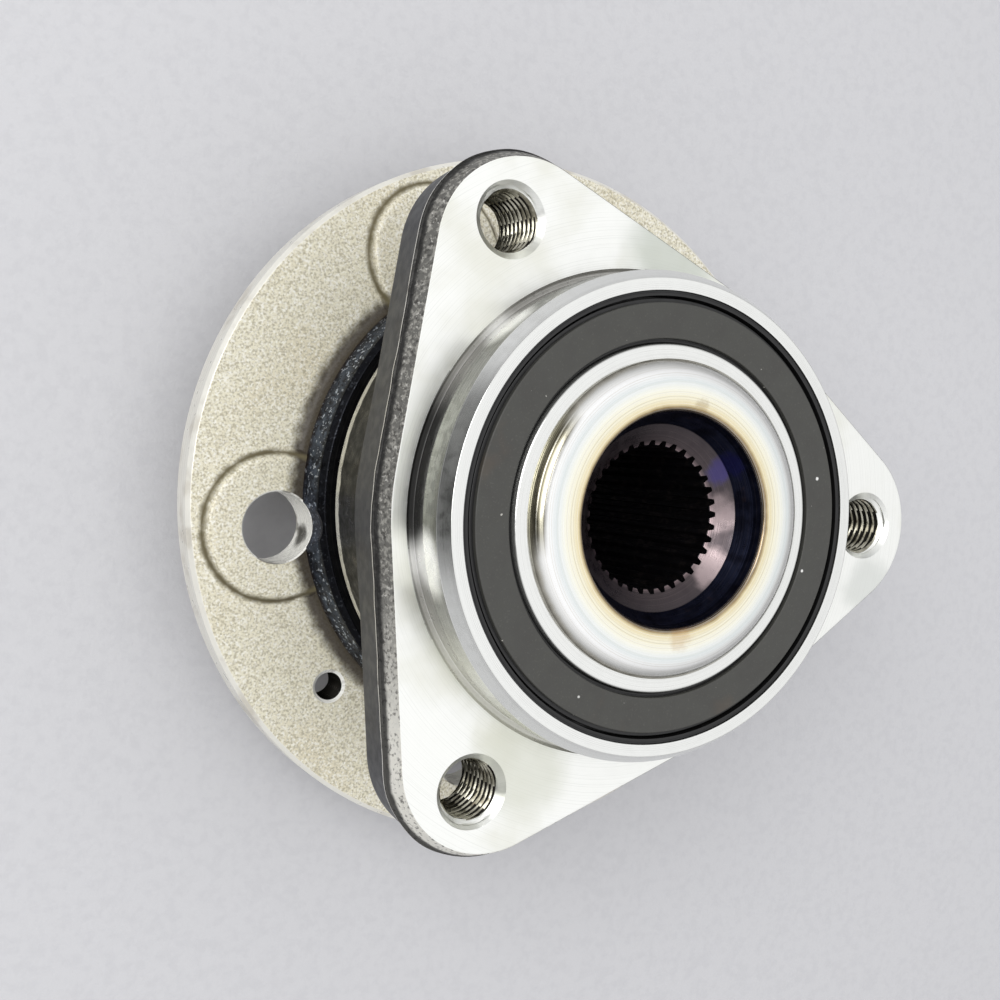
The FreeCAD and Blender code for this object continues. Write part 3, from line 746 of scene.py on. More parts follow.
# Painted highlights: two white glare spots on the spigot and its undercut.
SPIGOT_PAINTED_HIGHLIGHTS = (StainAndPaintedLight(tone(255, 255, 252), (-41.8, -6.2, 52.5), 7.2, 0.97, 0.12),
                 StainAndPaintedLight(tone(255, 255, 252), (-26.5, 32.6, 52.0), 6.4, 0.95, 0.12))
SPIGOT_STEEL = Finish(
    "spigot_steel", tone(128, 128, 122), 0.26, metallic=0.9, rings_scale=5, rings_depth=0.006,
    layers=(TurningMarksAndReflections(tone(84, 84, 80), 3.2, 0.42, 0.62, 0.8),
            Mottle(tone(120, 110, 96), 0.12, 0.55, 0.75, 0.3),
            # Painted reflections: a dark stretch on the left of the spigot and a lighter area further
            # round.
            StainAndPaintedLight(tone(90, 92, 82), (-40.5, 9.0, 54.5), 21, 0.75, 0.1),
            StainAndPaintedLight(tone(230, 230, 220), (-28.0, -31.0, 54.0), 25, 0.75, 0.2), *SPIGOT_PAINTED_HIGHLIGHTS))
RELIEF_STEEL = Finish(
    "relief_steel", tone(176, 175, 170), 0.34, metallic=0.6, rings_scale=5, rings_depth=0.008,
    layers=(TurningMarksAndReflections(tone(120, 118, 114), 3.5, 0.46, 0.62, 0.6),
            # Painted reflections: a near-black stretch on the undercut and a lighter area further round.
            StainAndPaintedLight(tone(34, 34, 34), (-40.5, 9.0, 50.0), 20, 0.9, 0.15),
            StainAndPaintedLight(tone(226, 226, 216), (-28.0, -31.0, 50.0), 25, 0.75, 0.2), *SPIGOT_PAINTED_HIGHLIGHTS))
GROUND_STEEL = Finish(
    "ground_steel", tone(238, 239, 235), 0.18, metallic=0.9, rings_scale=8, rings_depth=0.002,
    layers=(TurningMarksAndReflections(tone(206, 206, 202), 7, 0.45, 0.68, 0.4),))
CHAMFER_STEEL = replace(
    GROUND_STEEL, name="chamfer_steel",
    # Painted reflection: the spigot's dark stretch continued on the chamfer.
    layers=GROUND_STEEL.layers + (StainAndPaintedLight(tone(112, 113, 108), (-40.5, 10.0, 58.5), 21, 0.75, 0.1),))
FORGED_SCALE = Finish(
    "forged_scale", tone(20, 21, 18), 0.34, metallic=0.7, roughness_sway=0.12,
    grain_scale=1.2, grain_depth=0.04,
    layers=(Mottle(tone(38, 35, 25), 0.22, 0.46, 0.68, 0.5), Mottle(tone(8, 8, 8), 0.5, 0.46, 0.68, 0.8),
            Mottle(tone(76, 57, 34), 0.11, 0.6, 0.76, 0.4, offset=8),
            Tint(tone(232, 230, 218), 21.2, 21.7, 0.95, by_height=True, ragged=0.25)))
DRAFTED_SCALE = Finish(
    "drafted_scale", tone(58, 59, 61), 0.46, metallic=0.4, roughness_sway=0.06,
    grain_scale=2.0, grain_depth=0.015,
    layers=(Mottle(tone(44, 43, 42), 0.14, 0.45, 0.7, 0.6),
            Mottle(tone(74, 74, 74), 0.5, 0.56, 0.74, 0.5, offset=4),
            Tint(tone(22, 22, 22), 43.4, 42.7, 0.8, by_height=True, ragged=0.15)))
TRIMMED_STEEL = Finish(
    "trimmed_steel", tone(108, 107, 102), 0.5, metallic=0.4, roughness_sway=0.1,
    grain_scale=2.2, grain_depth=0.09,
    layers=(Mottle(tone(166, 164, 156), 1.3, 0.46, 0.62, 0.8),
            StainAndPaintedLight(tone(240, 238, 228), (-30.0, -50.0, 46.5), 42, 0.92, 0.3),
            Mottle(tone(50, 47, 43), 1.4, 0.52, 0.68, 0.75),
            Mottle(tone(214, 212, 204), 1.6, 0.6, 0.68, 0.7, offset=9),
            Tint(tone(16, 15, 14), 45.0, 45.9, 0.92, by_height=True, ragged=0.2)))
FLASH_RIDGE = Finish(
    "flash_ridge", tone(238, 236, 228), 0.36, metallic=0.5, grain_scale=2.5, grain_depth=0.06,
    layers=(Mottle(tone(118, 112, 102), 0.5, 0.56, 0.7, 0.7),))
TAPPED_STEEL = Finish(
    "tapped_steel", tone(178, 175, 160), 0.26, metallic=0.95, grain_scale=3, grain_depth=0.012,
    layers=(Mottle(tone(78, 73, 56), 0.32, 0.44, 0.62, 0.75),
            Mottle(tone(112, 74, 50), 0.4, 0.64, 0.78, 0.4, offset=5)))
# Painted shade: the thread roots and the deep thread of the disc screw hole, nearly black.
SHADED_THREAD_GROOVE = Finish(
    "shaded_thread_groove", tone(24, 22, 17), 0.5, metallic=0.8, grain_scale=3, grain_depth=0.012,
    layers=(Mottle(tone(12, 11, 9), 0.4, 0.45, 0.66, 0.7),))
# Centre of the painted reflection streaks on the collar's left side.
PAINTED_REFLECTION_CENTRE = (-26.0, 8.0, 61.0)
COLLAR_STEEL = Finish(
    "collar_steel", tone(246, 246, 240), 0.2, metallic=0.9, roughness_sway=0.05,
    rings_scale=3.2, rings_depth=0.01,
    layers=(Bands(((18.6, tone(70, 54, 42)), (19.1, tone(160, 138, 96)), (19.6, tone(236, 222, 180)),
                   (20.7, tone(247, 241, 212)), (22.2, tone(250, 249, 234)), (23.0, tone(240, 243, 238)),
                   (23.7, tone(226, 232, 230)), (24.4, tone(242, 244, 242)), (25.2, tone(252, 252, 250)),
                   (26.5, tone(240, 240, 236)), (27.0, tone(206, 202, 190)), (27.4, tone(120, 116, 104))),
                  ragged=0.12),
            TurningMarksAndReflections(tone(196, 186, 160), 4, 0.54, 0.7, 0.4),
            TurningMarksAndReflections(tone(252, 252, 252), 6, 0.5, 0.7, 0.5, 20),
            # Painted reflection: olive and dark streaks on the collar's left side.
            TurningMarksAndReflections(tone(158, 152, 124), 1.6, 0.3, 0.5, 0.8, offset=3.0, centre=PAINTED_REFLECTION_CENTRE, reach=14.0,
                    inner=24.9, by_height=True),
            TurningMarksAndReflections(tone(66, 61, 44), 2.6, 0.42, 0.56, 0.9, offset=8.0, centre=PAINTED_REFLECTION_CENTRE, reach=13.5,
                    inner=24.9, by_height=True),
            StainAndPaintedLight(tone(196, 156, 106), (0.8, -19.8, 61.9), 3.2, 0.35, 0.6),
            StainAndPaintedLight(tone(150, 122, 78), (4.9, 19.4, 61.9), 1.8, 0.35, 0.5)))
BORE_STEEL = Finish(
    "bore_steel", tone(36, 40, 60), 0.34, metallic=0.9, rings_scale=4, rings_depth=0.02,
    layers=(TurningMarksAndReflections(tone(74, 70, 78), 3, 0.54, 0.7, 0.5), Mottle(tone(16, 16, 26), 0.3, 0.45, 0.7, 0.7),
            Mottle(tone(86, 66, 58), 0.3, 0.62, 0.8, 0.4, offset=4),
            StainAndPaintedLight(tone(40, 40, 104), (14.6, 9.0, 58.5), 3.2, 0.6)))
LEAD_IN_STEEL = Finish(
    "lead_in_steel", tone(84, 77, 78), 0.3, rings_scale=4, rings_depth=0.012,
    layers=(Mottle(tone(56, 50, 54), 0.35, 0.45, 0.68, 0.35),
            TurningMarksAndReflections(tone(118, 106, 106), 3, 0.5, 0.7, 0.5),
            Bands(((12.4, tone(210, 184, 186)), (12.8, tone(140, 122, 124)), (13.3, tone(78, 70, 72)),
                   (16.4, tone(64, 60, 64))), amount=0.55),
            StainAndPaintedLight(tone(72, 66, 128), (13.9, 8.0, 56.0), 3.4, 0.6, 0.4),
            # Painted highlights: two pale pink spots on the lead-in.
            StainAndPaintedLight(tone(226, 204, 204), (14.6, 0.4, 56.0), 4.2, 0.25, 0.5),
            StainAndPaintedLight(tone(226, 204, 204), (11.6, -9.2, 56.0), 4.6, 0.4, 0.5)))
SPLINE_STEEL = Finish(
    "spline_steel", tone(44, 42, 46), 0.4, metallic=0.9, grain_scale=2, grain_depth=0.02,
    layers=(Mottle(tone(82, 74, 72), 0.5, 0.5, 0.7, 0.6),))
SEAL_RUBBER = Finish(
    "seal_rubber", tone(20, 20, 21), 0.5, metallic=0.0, grain_scale=4, grain_depth=0.01,
    layers=(Mottle(tone(40, 40, 38), 0.6, 0.55, 0.75, 0.5),))
MAGNET_RUBBER = Finish(
    "magnet_rubber", tone(66, 66, 62), 0.5, metallic=0.0, roughness_sway=0.05,
    grain_scale=4, grain_depth=0.012,
    layers=(Mottle(tone(62, 61, 58), 0.2, 0.42, 0.66, 0.5), Mottle(tone(88, 87, 82), 3.0, 0.58, 0.74, 0.5),
            Mottle(tone(92, 76, 60), 0.09, 0.62, 0.78, 0.3, offset=11),
            StainAndPaintedLight(tone(236, 236, 232), (33.0, 6.1, 59.8), 0.42, ragged=0.3),
            StainAndPaintedLight(tone(236, 236, 232), (29.8, -10.6, 59.8), 0.36, ragged=0.3),
            StainAndPaintedLight(tone(200, 200, 196), (-17.6, -28.8, 59.8), 0.3, ragged=0.3),
            Mottle(tone(190, 188, 180), 1.1, 0.78, 0.8, 0.8, detail=1.0, offset=7)))
PRESSED_STEEL = Finish(
    "pressed_steel", tone(60, 60, 60), 0.36, metallic=0.8, rings_scale=6, rings_depth=0.004,
    layers=(TurningMarksAndReflections(tone(34, 34, 34), 5, 0.5, 0.7, 0.6),))
CAGE_POLYAMIDE = Finish(
    "cage_polyamide", tone(206, 196, 166), 0.45, metallic=0.0, grain_scale=3, grain_depth=0.01,
    layers=(Mottle(tone(176, 160, 120), 0.3, 0.45, 0.7, 0.5),))
PALE_FELT = Finish(
    "pale_felt", tone(206, 206, 208), 0.95, metallic=0.0, grain_scale=1.2, grain_depth=0.08,
    layers=(Mottle(tone(192, 192, 195), 0.5, 0.4, 0.7, 0.3),))
LAPPED_STEEL = Finish(
    "lapped_steel", tone(226, 226, 228), 0.06, roughness_sway=0.02, grain_scale=4, grain_depth=0.001,
    layers=(Mottle(tone(200, 200, 204), 0.6, 0.5, 0.75, 0.4),))


@dataclass
class WheelHub:
    """Flanged spindle: pilots, wheel flange with stud pads, neck, rolled collar and splined bore."""

    front: float = -15.0
    recess: float = 21.0
    wheel_pilot: float = 28.2
    brake_pilot: float = 29.9
    pilot_step: float = -8.0
    seat_relief: tuple[float, float] = (31.5, 40.0)
    relief_depth: float = 1.2
    flange_radius: float = 69.0
    flange_back: float = 7.5
    rim_bevel: float = 0.8
    stud_count: int = 5
    stud_circle: float = 52.5
    stud_start: float = 183.5
    stud_hole: float = 6.7
    boss_foot: float = 13.9
    boss_top: float = 13.0
    boss_height: float = 1.8
    screw_circle: float = 54.4
    screw_hole: float = 2.5
    screw_mouth: float = 3.3
    screw_depth: float = 0.45
    screw_pitch: float = 1.0
    neck_foot: float = 48.0
    neck_radius: float = 45.4
    neck_top: float = 15.5
    land: float = 29.85
    stub: float = 21.5
    stub_foot: float = 39.4
    ring_end: float = 60.0
    collar_radius: float = 4.6
    crown: float = 62.6
    crown_bore: float = 18.7
    taper_mouth: float = 16.3
    pitch_radius: float = 32.8
    race_radius: float = 5.9
    outboard_row: float = 31.3
    taper_end: float = 57.3
    spline_count: int = 36
    spline_tip: float = 12.5
    spline_root: float = 13.4
    nut_seat: float = 10.0
    segments: int = 240
    stud_turns: np.ndarray = field(init=False)
    screw_turn: float = field(init=False)

    def __post_init__(self) -> None:
        """Work out the angles of the stud holes, and of the screw hole midway between two of them."""
        self.stud_turns = self.stud_start + np.arange(self.stud_count) * 360 / self.stud_count
        self.screw_turn = self.stud_start + 180 / self.stud_count

    def forging(self) -> bpy.types.Object:
        """Turned outline of the whole spindle, as one closed surface of revolution."""
        lead_end = self.taper_end - (self.taper_mouth - self.spline_tip) * 0.66
        flange, bevel, back = self.flange_radius, self.rim_bevel, self.flange_back
        relief_start, relief_end = self.seat_relief
        corners: list[Corner] = [
            (self.recess, self.front, 0.3), (self.wheel_pilot - 1.5, self.front, 0.3),
            (self.wheel_pilot, self.front + 1.5, 0.3), (self.wheel_pilot, self.pilot_step, 0.1),
            (self.brake_pilot - 0.5, self.pilot_step, 0.1), (self.brake_pilot, self.pilot_step + 0.5, 0.2),
            (self.brake_pilot, 0, 0.2), (relief_start, 0, 0.1), (relief_start, self.relief_depth, 0.4),
            (relief_end, self.relief_depth, 0.4), (relief_end, 0, 0.1),
            (flange - bevel, 0, 0.25), (flange, bevel, 0.25), (flange, back - bevel, 0.3),
            (flange - bevel, back, 0.3), (58, back, 0), (self.neck_foot, back, 2.0),
            (self.neck_radius + 1, self.neck_top - 1, 0.35), (self.neck_radius, self.neck_top, 0.3),
            (38, self.neck_top, 0), (self.land, self.neck_top, 3.0), (self.land, 26.19, 0)]
        corners += arc((self.pitch_radius, self.outboard_row), self.race_radius, 240, 152, 10)
        corners += [
            (27.6, self.stub_foot, 0.1), (self.stub, self.stub_foot, 0.3),
            (self.stub, self.ring_end - 2, 0.2), (self.stub + 2, self.ring_end, 0.1),
            (27.3, self.ring_end, 0.08)]
        corners += arc((23.437, 58.003), self.collar_radius, 32.9, 86, 12)
        corners += [
            (21.6, self.crown, 0), (self.crown_bore, self.crown, 0.9), (18.0, 60.4, 0.3),
            (self.taper_mouth, self.taper_end, 0.25), (self.spline_tip, lead_end, 0.1),
            (self.spline_tip, self.nut_seat + 0.8, 0.1), (self.spline_root, self.nut_seat, 0.1),
            (self.recess, self.nut_seat, 0.5)]
        return skin("hub_forging", lathe(rounded(corners), self.segments))

    def stud_pad(self, turn: float) -> bpy.types.Object:
        """Raised pad round one stud hole.

        The outline is a half circle outside and two straight sides that run into the neck. Its
        loops are that outline grown by d(t) at height h(t): a hollow fillet at the foot, a sloping
        wall and a rounded top edge.

        Args:
            turn: Angle of the stud hole in degrees.

        Returns:
            The closed pad.
        """
        sweep = np.radians(np.linspace(-90, 90, 41))
        foot = self.flange_back
        top = foot + self.boss_height
        wall = (self.boss_top - self.boss_foot) / self.boss_height
        hollow = np.linspace(0, 1, 6)
        brink = wall * (self.boss_height - 0.5)
        growth = np.concatenate([[1.1, 0.9], 0.8 * (1 - hollow) ** 1.8, [brink],
                                 brink - np.array([0.08, 0.22, 0.42, 0.66]), [-2.4]])
        height = np.concatenate([[foot - 0.6, foot - 0.06], foot + 0.02 + 0.45 * hollow ** 1.8,
                                 [top - 0.5], top - np.array([0.33, 0.17, 0.05, 0.0]), [top]])
        reach = self.boss_foot + growth
        inner = np.full(len(reach), 41.5 - self.stud_circle)
        across = np.concatenate([np.outer(np.cos(sweep), reach), [inner, inner]])
        along = np.concatenate([np.outer(np.sin(sweep), reach), [reach, -reach]])
        grid = np.stack([across, along, np.broadcast_to(height, across.shape)], axis=-1)
        return skin("stud_pad", moved(grid, self.stud_circle, turn), closed=False)

    def stud_drill(self, turn: float) -> bpy.types.Object:
        """Tool for one stud bore, flared at the seat face and at the pad."""
        top = self.flange_back + self.boss_height
        wall = self.stud_hole
        outline = np.array([[wall + 0.9, -0.6], [wall, 0.3], [wall, top - 0.25],
                            [wall + 0.35, top + 0.1], [wall, top + 0.2], [wall, self.neck_top + 1]])
        return skin("stud_drill", moved(lathe(outline, 96), self.stud_circle, turn), closed=False)

    def screw_tap(self) -> bpy.types.Object:
        """Tool for the disc screw's tapped hole: radius plus a triangle wave along a helix."""
        return thread_tool(
            "screw_tap", wall=self.screw_hole, depth=self.screw_depth, pitch=self.screw_pitch,
            mouth=self.screw_mouth, bottom=-1.0, face=self.flange_back, reach=self.screw_circle,
            turn=self.screw_turn, segments=48)

    def broach(self) -> bpy.types.Object:
        """Tool for the tooth spaces.

        Within one step of the spline the radius is the root over the middle of the space, falls
        along its two slanted flanks to the tips, and stays inside the bore between spaces.
        """
        half_root, half_mouth = 0.4 / self.spline_root, 0.75 / self.spline_tip
        step = 2 * np.pi / self.spline_count
        clear = self.spline_tip - 0.5
        angle = np.array([-step / 2, -half_mouth - 0.012, -half_mouth, -half_root, 0, half_root,
                          half_mouth, half_mouth + 0.012])
        radius = np.array([clear, clear, self.spline_tip, self.spline_root, self.spline_root + 0.03,
                           self.spline_root, self.spline_tip, clear])
        angles = (np.arange(self.spline_count)[:, None] * step + angle).ravel()
        radii = np.tile(radius, self.spline_count)
        heights = np.array([self.nut_seat - 1, self.taper_end - 0.3])
        across, along = radii * np.cos(angles), radii * np.sin(angles)
        grid = np.stack([np.outer(across, [1, 1]), np.outer(along, [1, 1]),
                         np.broadcast_to(heights, (len(angles), 2))], axis=-1)
        return skin("broach", grid, closed=False)

    def dress(self, piece: bpy.types.Object) -> None:
        """Give each surface of the spindle the finish of the step that made it, with painted shade at the
        pads' feet, on the neck's top and in the screw hole's thread.
        """
        faces = Faces.of(piece)
        radius, height, up = faces.radius, faces.height, faces.up
        studs = faces.near(self.stud_circle, self.stud_turns)
        screw = faces.near(self.screw_circle, np.array([self.screw_turn])) < self.screw_mouth + 0.1
        turns = np.radians(self.stud_turns)
        axes = np.column_stack([np.cos(turns), np.sin(turns)]) * self.stud_circle
        foot = self.boss_foot + 0.1
        # Painted shade rings along the pads' feet.
        painted_foot_shade = tuple(Halo(PAD_FOOT_PAINTED_SHADE, tuple(axis), foot, 1.0) for axis in axes.tolist())
        pad_top = self.flange_back + self.boss_height
        neck = self.neck_radius + 0.1
        inboard = height > 50
        paint(piece, replace(BLASTED_STEEL, layers=BLASTED_STEEL.layers + painted_foot_shade), (
            ((studs < self.stud_hole + 0.45) & (np.abs(up) < 0.9) & (height < pad_top + 0.1), BORED_STEEL),
            ((height < 0.3) | ((height < self.relief_depth + 0.4) & (up < -0.5)), SEAT_STEEL),
            ((radius > self.flange_radius - 0.9) & (np.abs(up) < 0.9), RIM_STEEL),
            # Painted shade in the disc screw hole's thread.
            (screw & (height < self.flange_back - 0.75), SHADED_THREAD_GROOVE),
            (screw & (up < 0.98), BORED_STEEL),
            ((radius > neck - 0.5) & (radius < neck + 2) & (height > self.flange_back + 0.1)
             & (height < self.neck_top + 0.1), HARDENED_NECK),
            ((radius < self.recess + 3) & (height < self.nut_seat + 0.2), SEAT_STEEL),
            ((radius < self.spline_root + 0.1) & (height < self.taper_end - 2), SPLINE_STEEL),
            (inboard & (radius < self.taper_mouth + 0.05) & (height < self.taper_end + 0.05),
             LEAD_IN_STEEL),
            (inboard & (radius < self.crown_bore + 0.05) & (height < self.crown - 0.85), BORE_STEEL),
            (height > self.ring_end - 0.05, COLLAR_STEEL),
            # Painted shade on the neck's top face.
            ((radius > self.land) & (radius < neck) & (height > 10) & (height < self.neck_top + 2.5),
             PAINTED_SHADE_NECK_FACE),
            ((radius < neck) & (height > 10), GROUND_STEEL)))

    def build(self) -> None:
        """Turn the forging, join the pads, drill, tap and broach it, and dress it."""
        hub = self.forging()
        work(hub, fused("stud_pads", [self.stud_pad(turn) for turn in self.stud_turns]), Operation.JOIN)
        cutters = [self.stud_drill(turn) for turn in self.stud_turns] + [self.screw_tap(), self.broach()]
        work(hub, fused("hub_cutters", cutters), Operation.CUT)
        self.dress(hub)
        install(hub, "wheel_hub", Body.SPINDLE)


def thread_tool(name: str, wall: float, depth: float, pitch: float, mouth: float, bottom: float,
                face: float, reach: float, turn: float, segments: int) -> bpy.types.Object:
    """Tool for a tapped hole.

    The radius is the wall plus the thread's depth times a flattened triangle wave of
    height / pitch - angle / full turn, so the groove climbs one pitch a turn. Near the face the
    radius is at least that of the mouth's 45 degree chamfer.

    Args:
        name: Name of the tool.
        wall: Radius of the drilled wall.
        depth: Depth of the thread.
        pitch: Rise of the thread in one turn.
        mouth: Radius of the chamfer at the face.
        bottom: Height where the tool begins.
        face: Height of the face with the chamfer.
        reach: Distance of the hole from the spin axis.
        turn: Angle of the hole in degrees.
        segments: Steps round the hole.

    Returns:
        The closed tool.
    """
    angle = np.arange(segments) * 2 * np.pi / segments
    top = face + 0.6
    height = np.arange(bottom, top, pitch / 8)
    height[-1] = top
    phase = (height[None, :] / pitch - angle[:, None] / (2 * np.pi)) % 1
    wave = np.clip(1.25 * (1 - 2 * np.abs(phase - 0.5)) - 0.1, 0, 1)
    radius = np.maximum(wall + depth * wave, mouth - (face - height)[None, :])
    grid = np.stack([radius * np.cos(angle)[:, None], radius * np.sin(angle)[:, None],
                     np.broadcast_to(height, radius.shape)], axis=-1)
    return skin(name, moved(grid, reach, turn), closed=False)


@dataclass
class OuterRing:
    """Stationary ring: body, drafted three-lobed knuckle flange, spigot and raceways."""

    ring_start: float = 18.5
    ring_end: float = 59.7
    ring_radius: float = 45.0
    body_bevel: float = 1.2
    seal_seat: float = 38.8
    bore: float = 38.2
    outboard_shoulder: float = 23.7
    inboard_shoulder: float = 54.5
    spigot: float = 42.4
    undercut: float = 41.9
    undercut_end: float = 51.7
    face_start: float = 43.4
    chamfer: tuple[float, float] = (40.9, 57.3)
    flange_far: float = 33.7
    foot_gap: float = 4.2
    face: float = 48.2
    parting: float = 44.0
    base_radius: float = 46.3
    face_draft: float = 1.3
    far_draft: float = 0.6
    lobe_radius: float = 16.6
    lobe_centre: float = 49.4
    lobe_start: float = -4.5
    lobe_count: int = 3
    hole_circle: float = 55.8
    hole_wall: float = 5.1
    hole_mouth: float = 6.6
    thread_depth: float = 0.85
    thread_pitch: float = 1.5
    pitch_radius: float = 32.8
    race_radius: float = 5.9
    rows: tuple[float, float] = (31.3, 46.9)
    segments: int = 480
    angle: np.ndarray = field(init=False)
    lobe_turns: np.ndarray = field(init=False)

    def __post_init__(self) -> None:
        """Work out the steps round the ring and the angles of the lobes."""
        self.angle = np.arange(self.segments) * 2 * np.pi / self.segments
        self.lobe_turns = self.lobe_start + np.arange(self.lobe_count) * 360 / self.lobe_count

    def flange_edge(self, growth: object) -> np.ndarray:
        """Radius of the flange's outline round the ring.

        Folded to the nearest lobe, the outline is the far side of the lobe's circle,
        c cos a + root(r^2 - c^2 sin^2 a), near the lobe, the base circle far from it, and the
        straight line that touches both between, b / cos(a - n), where cos n = (b - r) / c.

        Args:
            growth: Distance beyond the face's outline, one number or one for each step.

        Returns:
            Radius for each step round the ring.
        """
        step = 2 * np.pi / self.lobe_count
        folded = np.abs((self.angle - np.radians(self.lobe_start) + step / 2) % step - step / 2)
        base = self.base_radius + growth
        tip = self.lobe_radius + growth
        normal = np.arccos((self.base_radius - self.lobe_radius) / self.lobe_centre)
        touch = np.arctan2(tip * np.sin(normal), self.lobe_centre + tip * np.cos(normal))
        under = np.maximum(tip ** 2 - (self.lobe_centre * np.sin(folded)) ** 2, 0)
        lobe = self.lobe_centre * np.cos(folded) + np.sqrt(under)
        flank = base / np.cos(np.minimum(folded - normal, 0))
        return np.where(folded < touch, lobe, np.where(folded < normal, flank, base))

    def waver(self, seed: int, finest: int) -> np.ndarray:
        """Uneven wave round the ring from -1 to 1: sines of rising number with fixed phases."""
        random = np.random.default_rng(seed)
        number = np.arange(3, finest)
        phase = random.uniform(0, 2 * np.pi, len(number))
        weight = random.uniform(0.3, 1, len(number)) / np.sqrt(number)
        wave = (weight[:, None] * np.sin(number[:, None] * self.angle + phase[:, None])).sum(axis=0)
        return wave / np.abs(wave).max()

    def stations(self) -> tuple[list[np.ndarray], list[np.ndarray]]:
        """Section of the ring as loops: each has a radius for each step and a height.

        Turned stretches have one radius all round. The flange's loops are its outline grown for
        the draft, the flash along the parting line and the rounded far edge.

        Returns:
            Radius and height of every loop, for each step round the ring.
        """
        seat, wall, body = self.seal_seat, self.spigot, self.ring_radius
        foot_height = self.flange_far - self.foot_gap
        floor = self.face - 0.5
        bare = [(seat, self.outboard_shoulder, 0.2), (seat, self.ring_start, 0.15),
                (body - self.body_bevel, self.ring_start, 0.2),
                (body, self.ring_start + self.body_bevel, 0.3), (body, foot_height, 0),
                (self.face_start, self.face, 0), (self.face_start - 0.5, floor, 0.1),
                (self.undercut, floor, 0.2), (self.undercut, self.undercut_end, 0.1),
                (wall, self.undercut_end + 0.5, 0.1), (wall, self.chamfer[1], 0.15),
                (self.chamfer[0], self.ring_end, 0.15), (seat, self.ring_end, 0.12),
                (seat, self.inboard_shoulder, 0.1), (self.bore, self.inboard_shoulder, 0.05),
                (self.bore, 49.277, 0)]
        bare += arc((self.pitch_radius, self.rows[1]), self.race_radius, 20, -58, 8)
        bare += arc((self.pitch_radius, self.rows[0]), self.race_radius, 58, -20, 8)
        bare += [(self.bore, self.outboard_shoulder, 0)]
        turned = rounded(bare)
        foot = int(np.argmin(np.hypot(turned[:, 0] - body, turned[:, 1] - foot_height)))
        turned = np.roll(turned, -foot - 1, axis=0)
        radii: list[np.ndarray] = []
        heights: list[np.ndarray] = []

        def loop(radius: np.ndarray | float, height: np.ndarray | float) -> None:
            """Add one loop."""
            radii.append(np.broadcast_to(radius, self.segments))
            heights.append(np.broadcast_to(height, self.segments))

        # The wheel side of the flange: hollow fillet, flat and rounded far edge.
        far_growth = self.face_draft - self.far_draft
        edge = self.flange_edge(far_growth)
        room = edge - body
        fillet = np.minimum(3.2, 0.55 * room)
        loop(body, foot_height + 0.2)
        for share in np.linspace(0, 1, 9):
            lift = np.radians(90 * share)
            loop(body + fillet * (1 - np.cos(lift)), self.flange_far - fillet * (1 - np.sin(lift)))
        far_round = np.minimum(FAR_ROUND, 0.4 * room)
        start = body + fillet
        end = edge - far_round
        for share in (0.04, 0.3, 0.6, 0.96):
            loop(start + (end - start) * share, self.flange_far)
        for share in np.linspace(0, 1, 7):
            lift = np.radians(90 * share)
            loop(end + far_round * np.sin(lift), self.flange_far + far_round * (1 - np.cos(lift)))

        # The drafted edge up to the parting line, the flash ridge along it, and the rough band.
        wobble = 0.05 * self.waver(3, 40)
        low = self.flange_far + FAR_ROUND
        for share in (0.06, 0.25, 0.5, 0.75, 0.92):
            height = low + (self.parting - 0.45 - low) * share
            loop(self.flange_edge(far_growth + self.far_draft * share + wobble), height)
        flash = 0.34 + 0.16 * self.waver(5, 60)
        for rise, share in (
                (-0.4, 0.0), (-0.28, 0.75), (-0.12, 1.0), (0.12, 1.0), (0.26, 0.7), (0.4, 0.0)):
            loop(self.flange_edge(self.face_draft + flash * share), self.parting + rise)
        rough = 0.16 * self.waver(11, 110)
        low = self.parting + 0.5
        for share in (0.12, 0.3, 0.5, 0.7, 0.86):
            height = low + (self.face - 0.3 - low) * share
            loop(self.flange_edge(self.face_draft * (1 - share) + rough * (1 - share)), height)

        # The softly broken edge of the mounting face, then the face.
        for growth, drop in ((0.02, 0.28), (-0.02, 0.16), (-0.16, 0.02), (-0.28, 0.0)):
            loop(self.flange_edge(growth), self.face - drop)
        rim = self.flange_edge(-0.4)
        for share in (0.0, 0.2, 0.4, 0.6, 0.8, 0.97):
            loop(rim + (self.face_start - rim) * share, self.face)
        for radius, height in turned:
            loop(radius, height)
        return radii, heights

    def forging(self) -> bpy.types.Object:
        """Closed surface of the ring over the loops of its section."""
        radii, heights = self.stations()
        radius = np.stack(radii, axis=1)
        grid = np.stack([radius * np.cos(self.angle)[:, None], radius * np.sin(self.angle)[:, None],
                         np.stack(heights, axis=1)], axis=-1)
        return skin("outer_ring_forging", grid)

